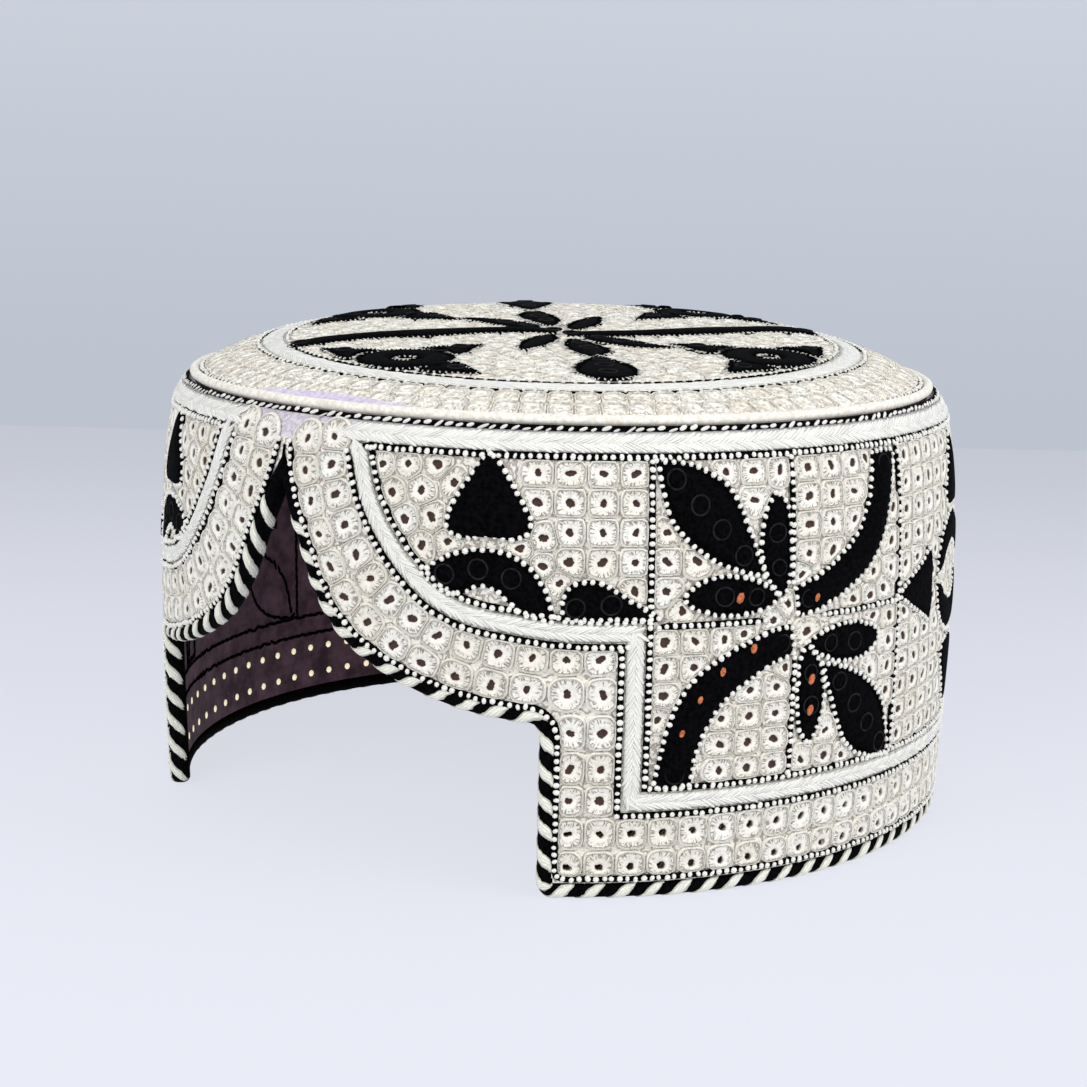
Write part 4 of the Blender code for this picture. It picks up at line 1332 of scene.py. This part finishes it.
backStitch = {"pitch": 0.0024, "size": (0.0016, 0.00048, 0.00035, -0.0033), "rows": (17.6, 22.6),
              "dividers": (50.2, 90.2, 135, 180, 225, 269.8, 309.8)}
backLines = [flat([(40, h), (320, h)]) for h in backStitch["rows"]]
backLines += [flat([(a, 24), (a, 88)]) for a in backStitch["dividers"]]
for ring in wallRings:
    backLines += [ring, (full, 0) + ring * (-1, 1)]
dashes = []
for line in backLines:
    points, angles = alongLine(line, backStitch["pitch"])
    angles += chance.normal(0, 0.2, len(points))
    dashes.append(columns(points, angles, *backStitch["size"]))
finished(layCopies("liningStitches", smallStitch, np.vstack(dashes), onWall), blackThread)
# the eyelets' cream thread shows at each hole on the inside; it glows by its own emission, painted
# light standing in for light from without
knotSize = 0.00092, 0.00092, 0.0003, -0.0032    # length, width, height, lift
knots = columns(pins, 0.0, *knotSize)
finished(layCopies("liningKnots", beadShape, knots, onWall), glowingKnotThread)
print("small stitches laid")

# Room: pale floor and wall, soft light, camera where the photograph was taken from
room = {"floorNear": fromScreen(234, 236, 246), "floorFar": fromScreen(201, 204, 215),
        "wallLow": fromScreen(191, 198, 209), "wallHigh": fromScreen(211, 217, 227),
        "wallBehind": 0.56, "size": 6.0, "nearAt": -0.18, "farAt": 0.56, "highAt": 0.35,
        "ownLight": 0.86, "paint": 0.12, "air": (0.92, 0.95, 1.0, 1.0), "airLight": 0.55}
lamps = {                          # place, size, power
    "key": ((-0.55, -0.80, 0.62), 0.9, 6.6), "fill": ((0.9, -0.5, 0.6), 0.9, 8.0),
    "top": ((0.0, 0.1, 1.3), 1.2, 0.9),
}
turn = Matrix.Rotation(cap["crownTurn"], 4, "Z")


def stagePlane(name, location, rotation, low, high, start, end):
    # a pale board, glowing from within as well as lit by the lamps; its colour and glow grade
    # along it, painted light
    bpy.ops.object.select_all(action="DESELECT")
    bpy.ops.mesh.primitive_plane_add(size=room["size"])
    piece = bpy.context.object
    piece.name = name
    piece.matrix_world = turn @ Matrix.Translation(location) @ Matrix.Rotation(rotation, 4, "X")
    look = Finish(name, roughness=0.9, gloss=0.0)
    away = look.split(look.place())[1].ramp(start, end)
    color = look.mixed(away, low, high)
    dim = look.mixed(away, [c * room["paint"] for c in low], [c * room["paint"] for c in high])
    look.plug(look.shader.inputs["Emission Color"], color)
    look.shader.inputs["Emission Strength"].default_value = room["ownLight"]
    piece.data.materials.append(look.done(dim))


# painted light falloff: the floor darker towards the back
stagePlane("floor", (0, 0, -0.00002), 0.0, room["floorNear"], room["floorFar"], room["nearAt"],
           room["farAt"])
# painted light: the wall lighter towards its top
stagePlane("backdrop", (0, room["wallBehind"], 0), math.pi / 2, room["wallLow"], room["wallHigh"],
           0.0, room["highAt"])

world = bpy.data.worlds.new("studio")
bpy.context.scene.world = world
world.use_nodes = True
air = world.node_tree.nodes["Background"].inputs
air[0].default_value, air[1].default_value = room["air"], room["airLight"]
for name, (location, size, power) in lamps.items():
    data = bpy.data.lights.new(name, "AREA")
    data.shape, data.size, data.energy = "DISK", size, power
    lamp = bpy.data.objects.new(name, data)
    bpy.context.collection.objects.link(lamp)
    facing = Vector((0, 0, 0.05)) - Vector(location)    # towards the cap
    facing = facing.to_track_quat("-Z", "Y").to_matrix().to_4x4()
    lamp.matrix_world = turn @ Matrix.Translation(location) @ facing

shot = {"focal": 2132.0, "frame": 1087, "away": 0.496, "height": 0.151,
        "pitch": 10.96, "roll": 1.31, "yaw": -0.37, "sensor": 36.0}
pitchDown, roll, yaw = (math.radians(shot[k]) for k in ("pitch", "roll", "yaw"))
ahead = math.cos(pitchDown)
forward = Vector((math.sin(yaw) * ahead, math.cos(yaw) * ahead, -math.sin(pitchDown)))
level = Vector((math.cos(yaw), -math.sin(yaw), 0.0))
above = level.cross(forward)
right = math.cos(roll) * level + math.sin(roll) * above
above = math.cos(roll) * above - math.sin(roll) * level
camera = bpy.data.objects.new("camera", bpy.data.cameras.new("camera"))
bpy.context.collection.objects.link(camera)
camera.matrix_world = turn @ Matrix.Translation((0, -shot["away"], shot["height"])) @ Matrix(
    (right, above, -forward)).transposed().to_4x4()
camera.data.sensor_width = shot["sensor"]
camera.data.lens = shot["sensor"] * shot["focal"] / shot["frame"]
bpy.context.scene.camera = camera
bpy.context.scene.view_settings.view_transform = "Standard"
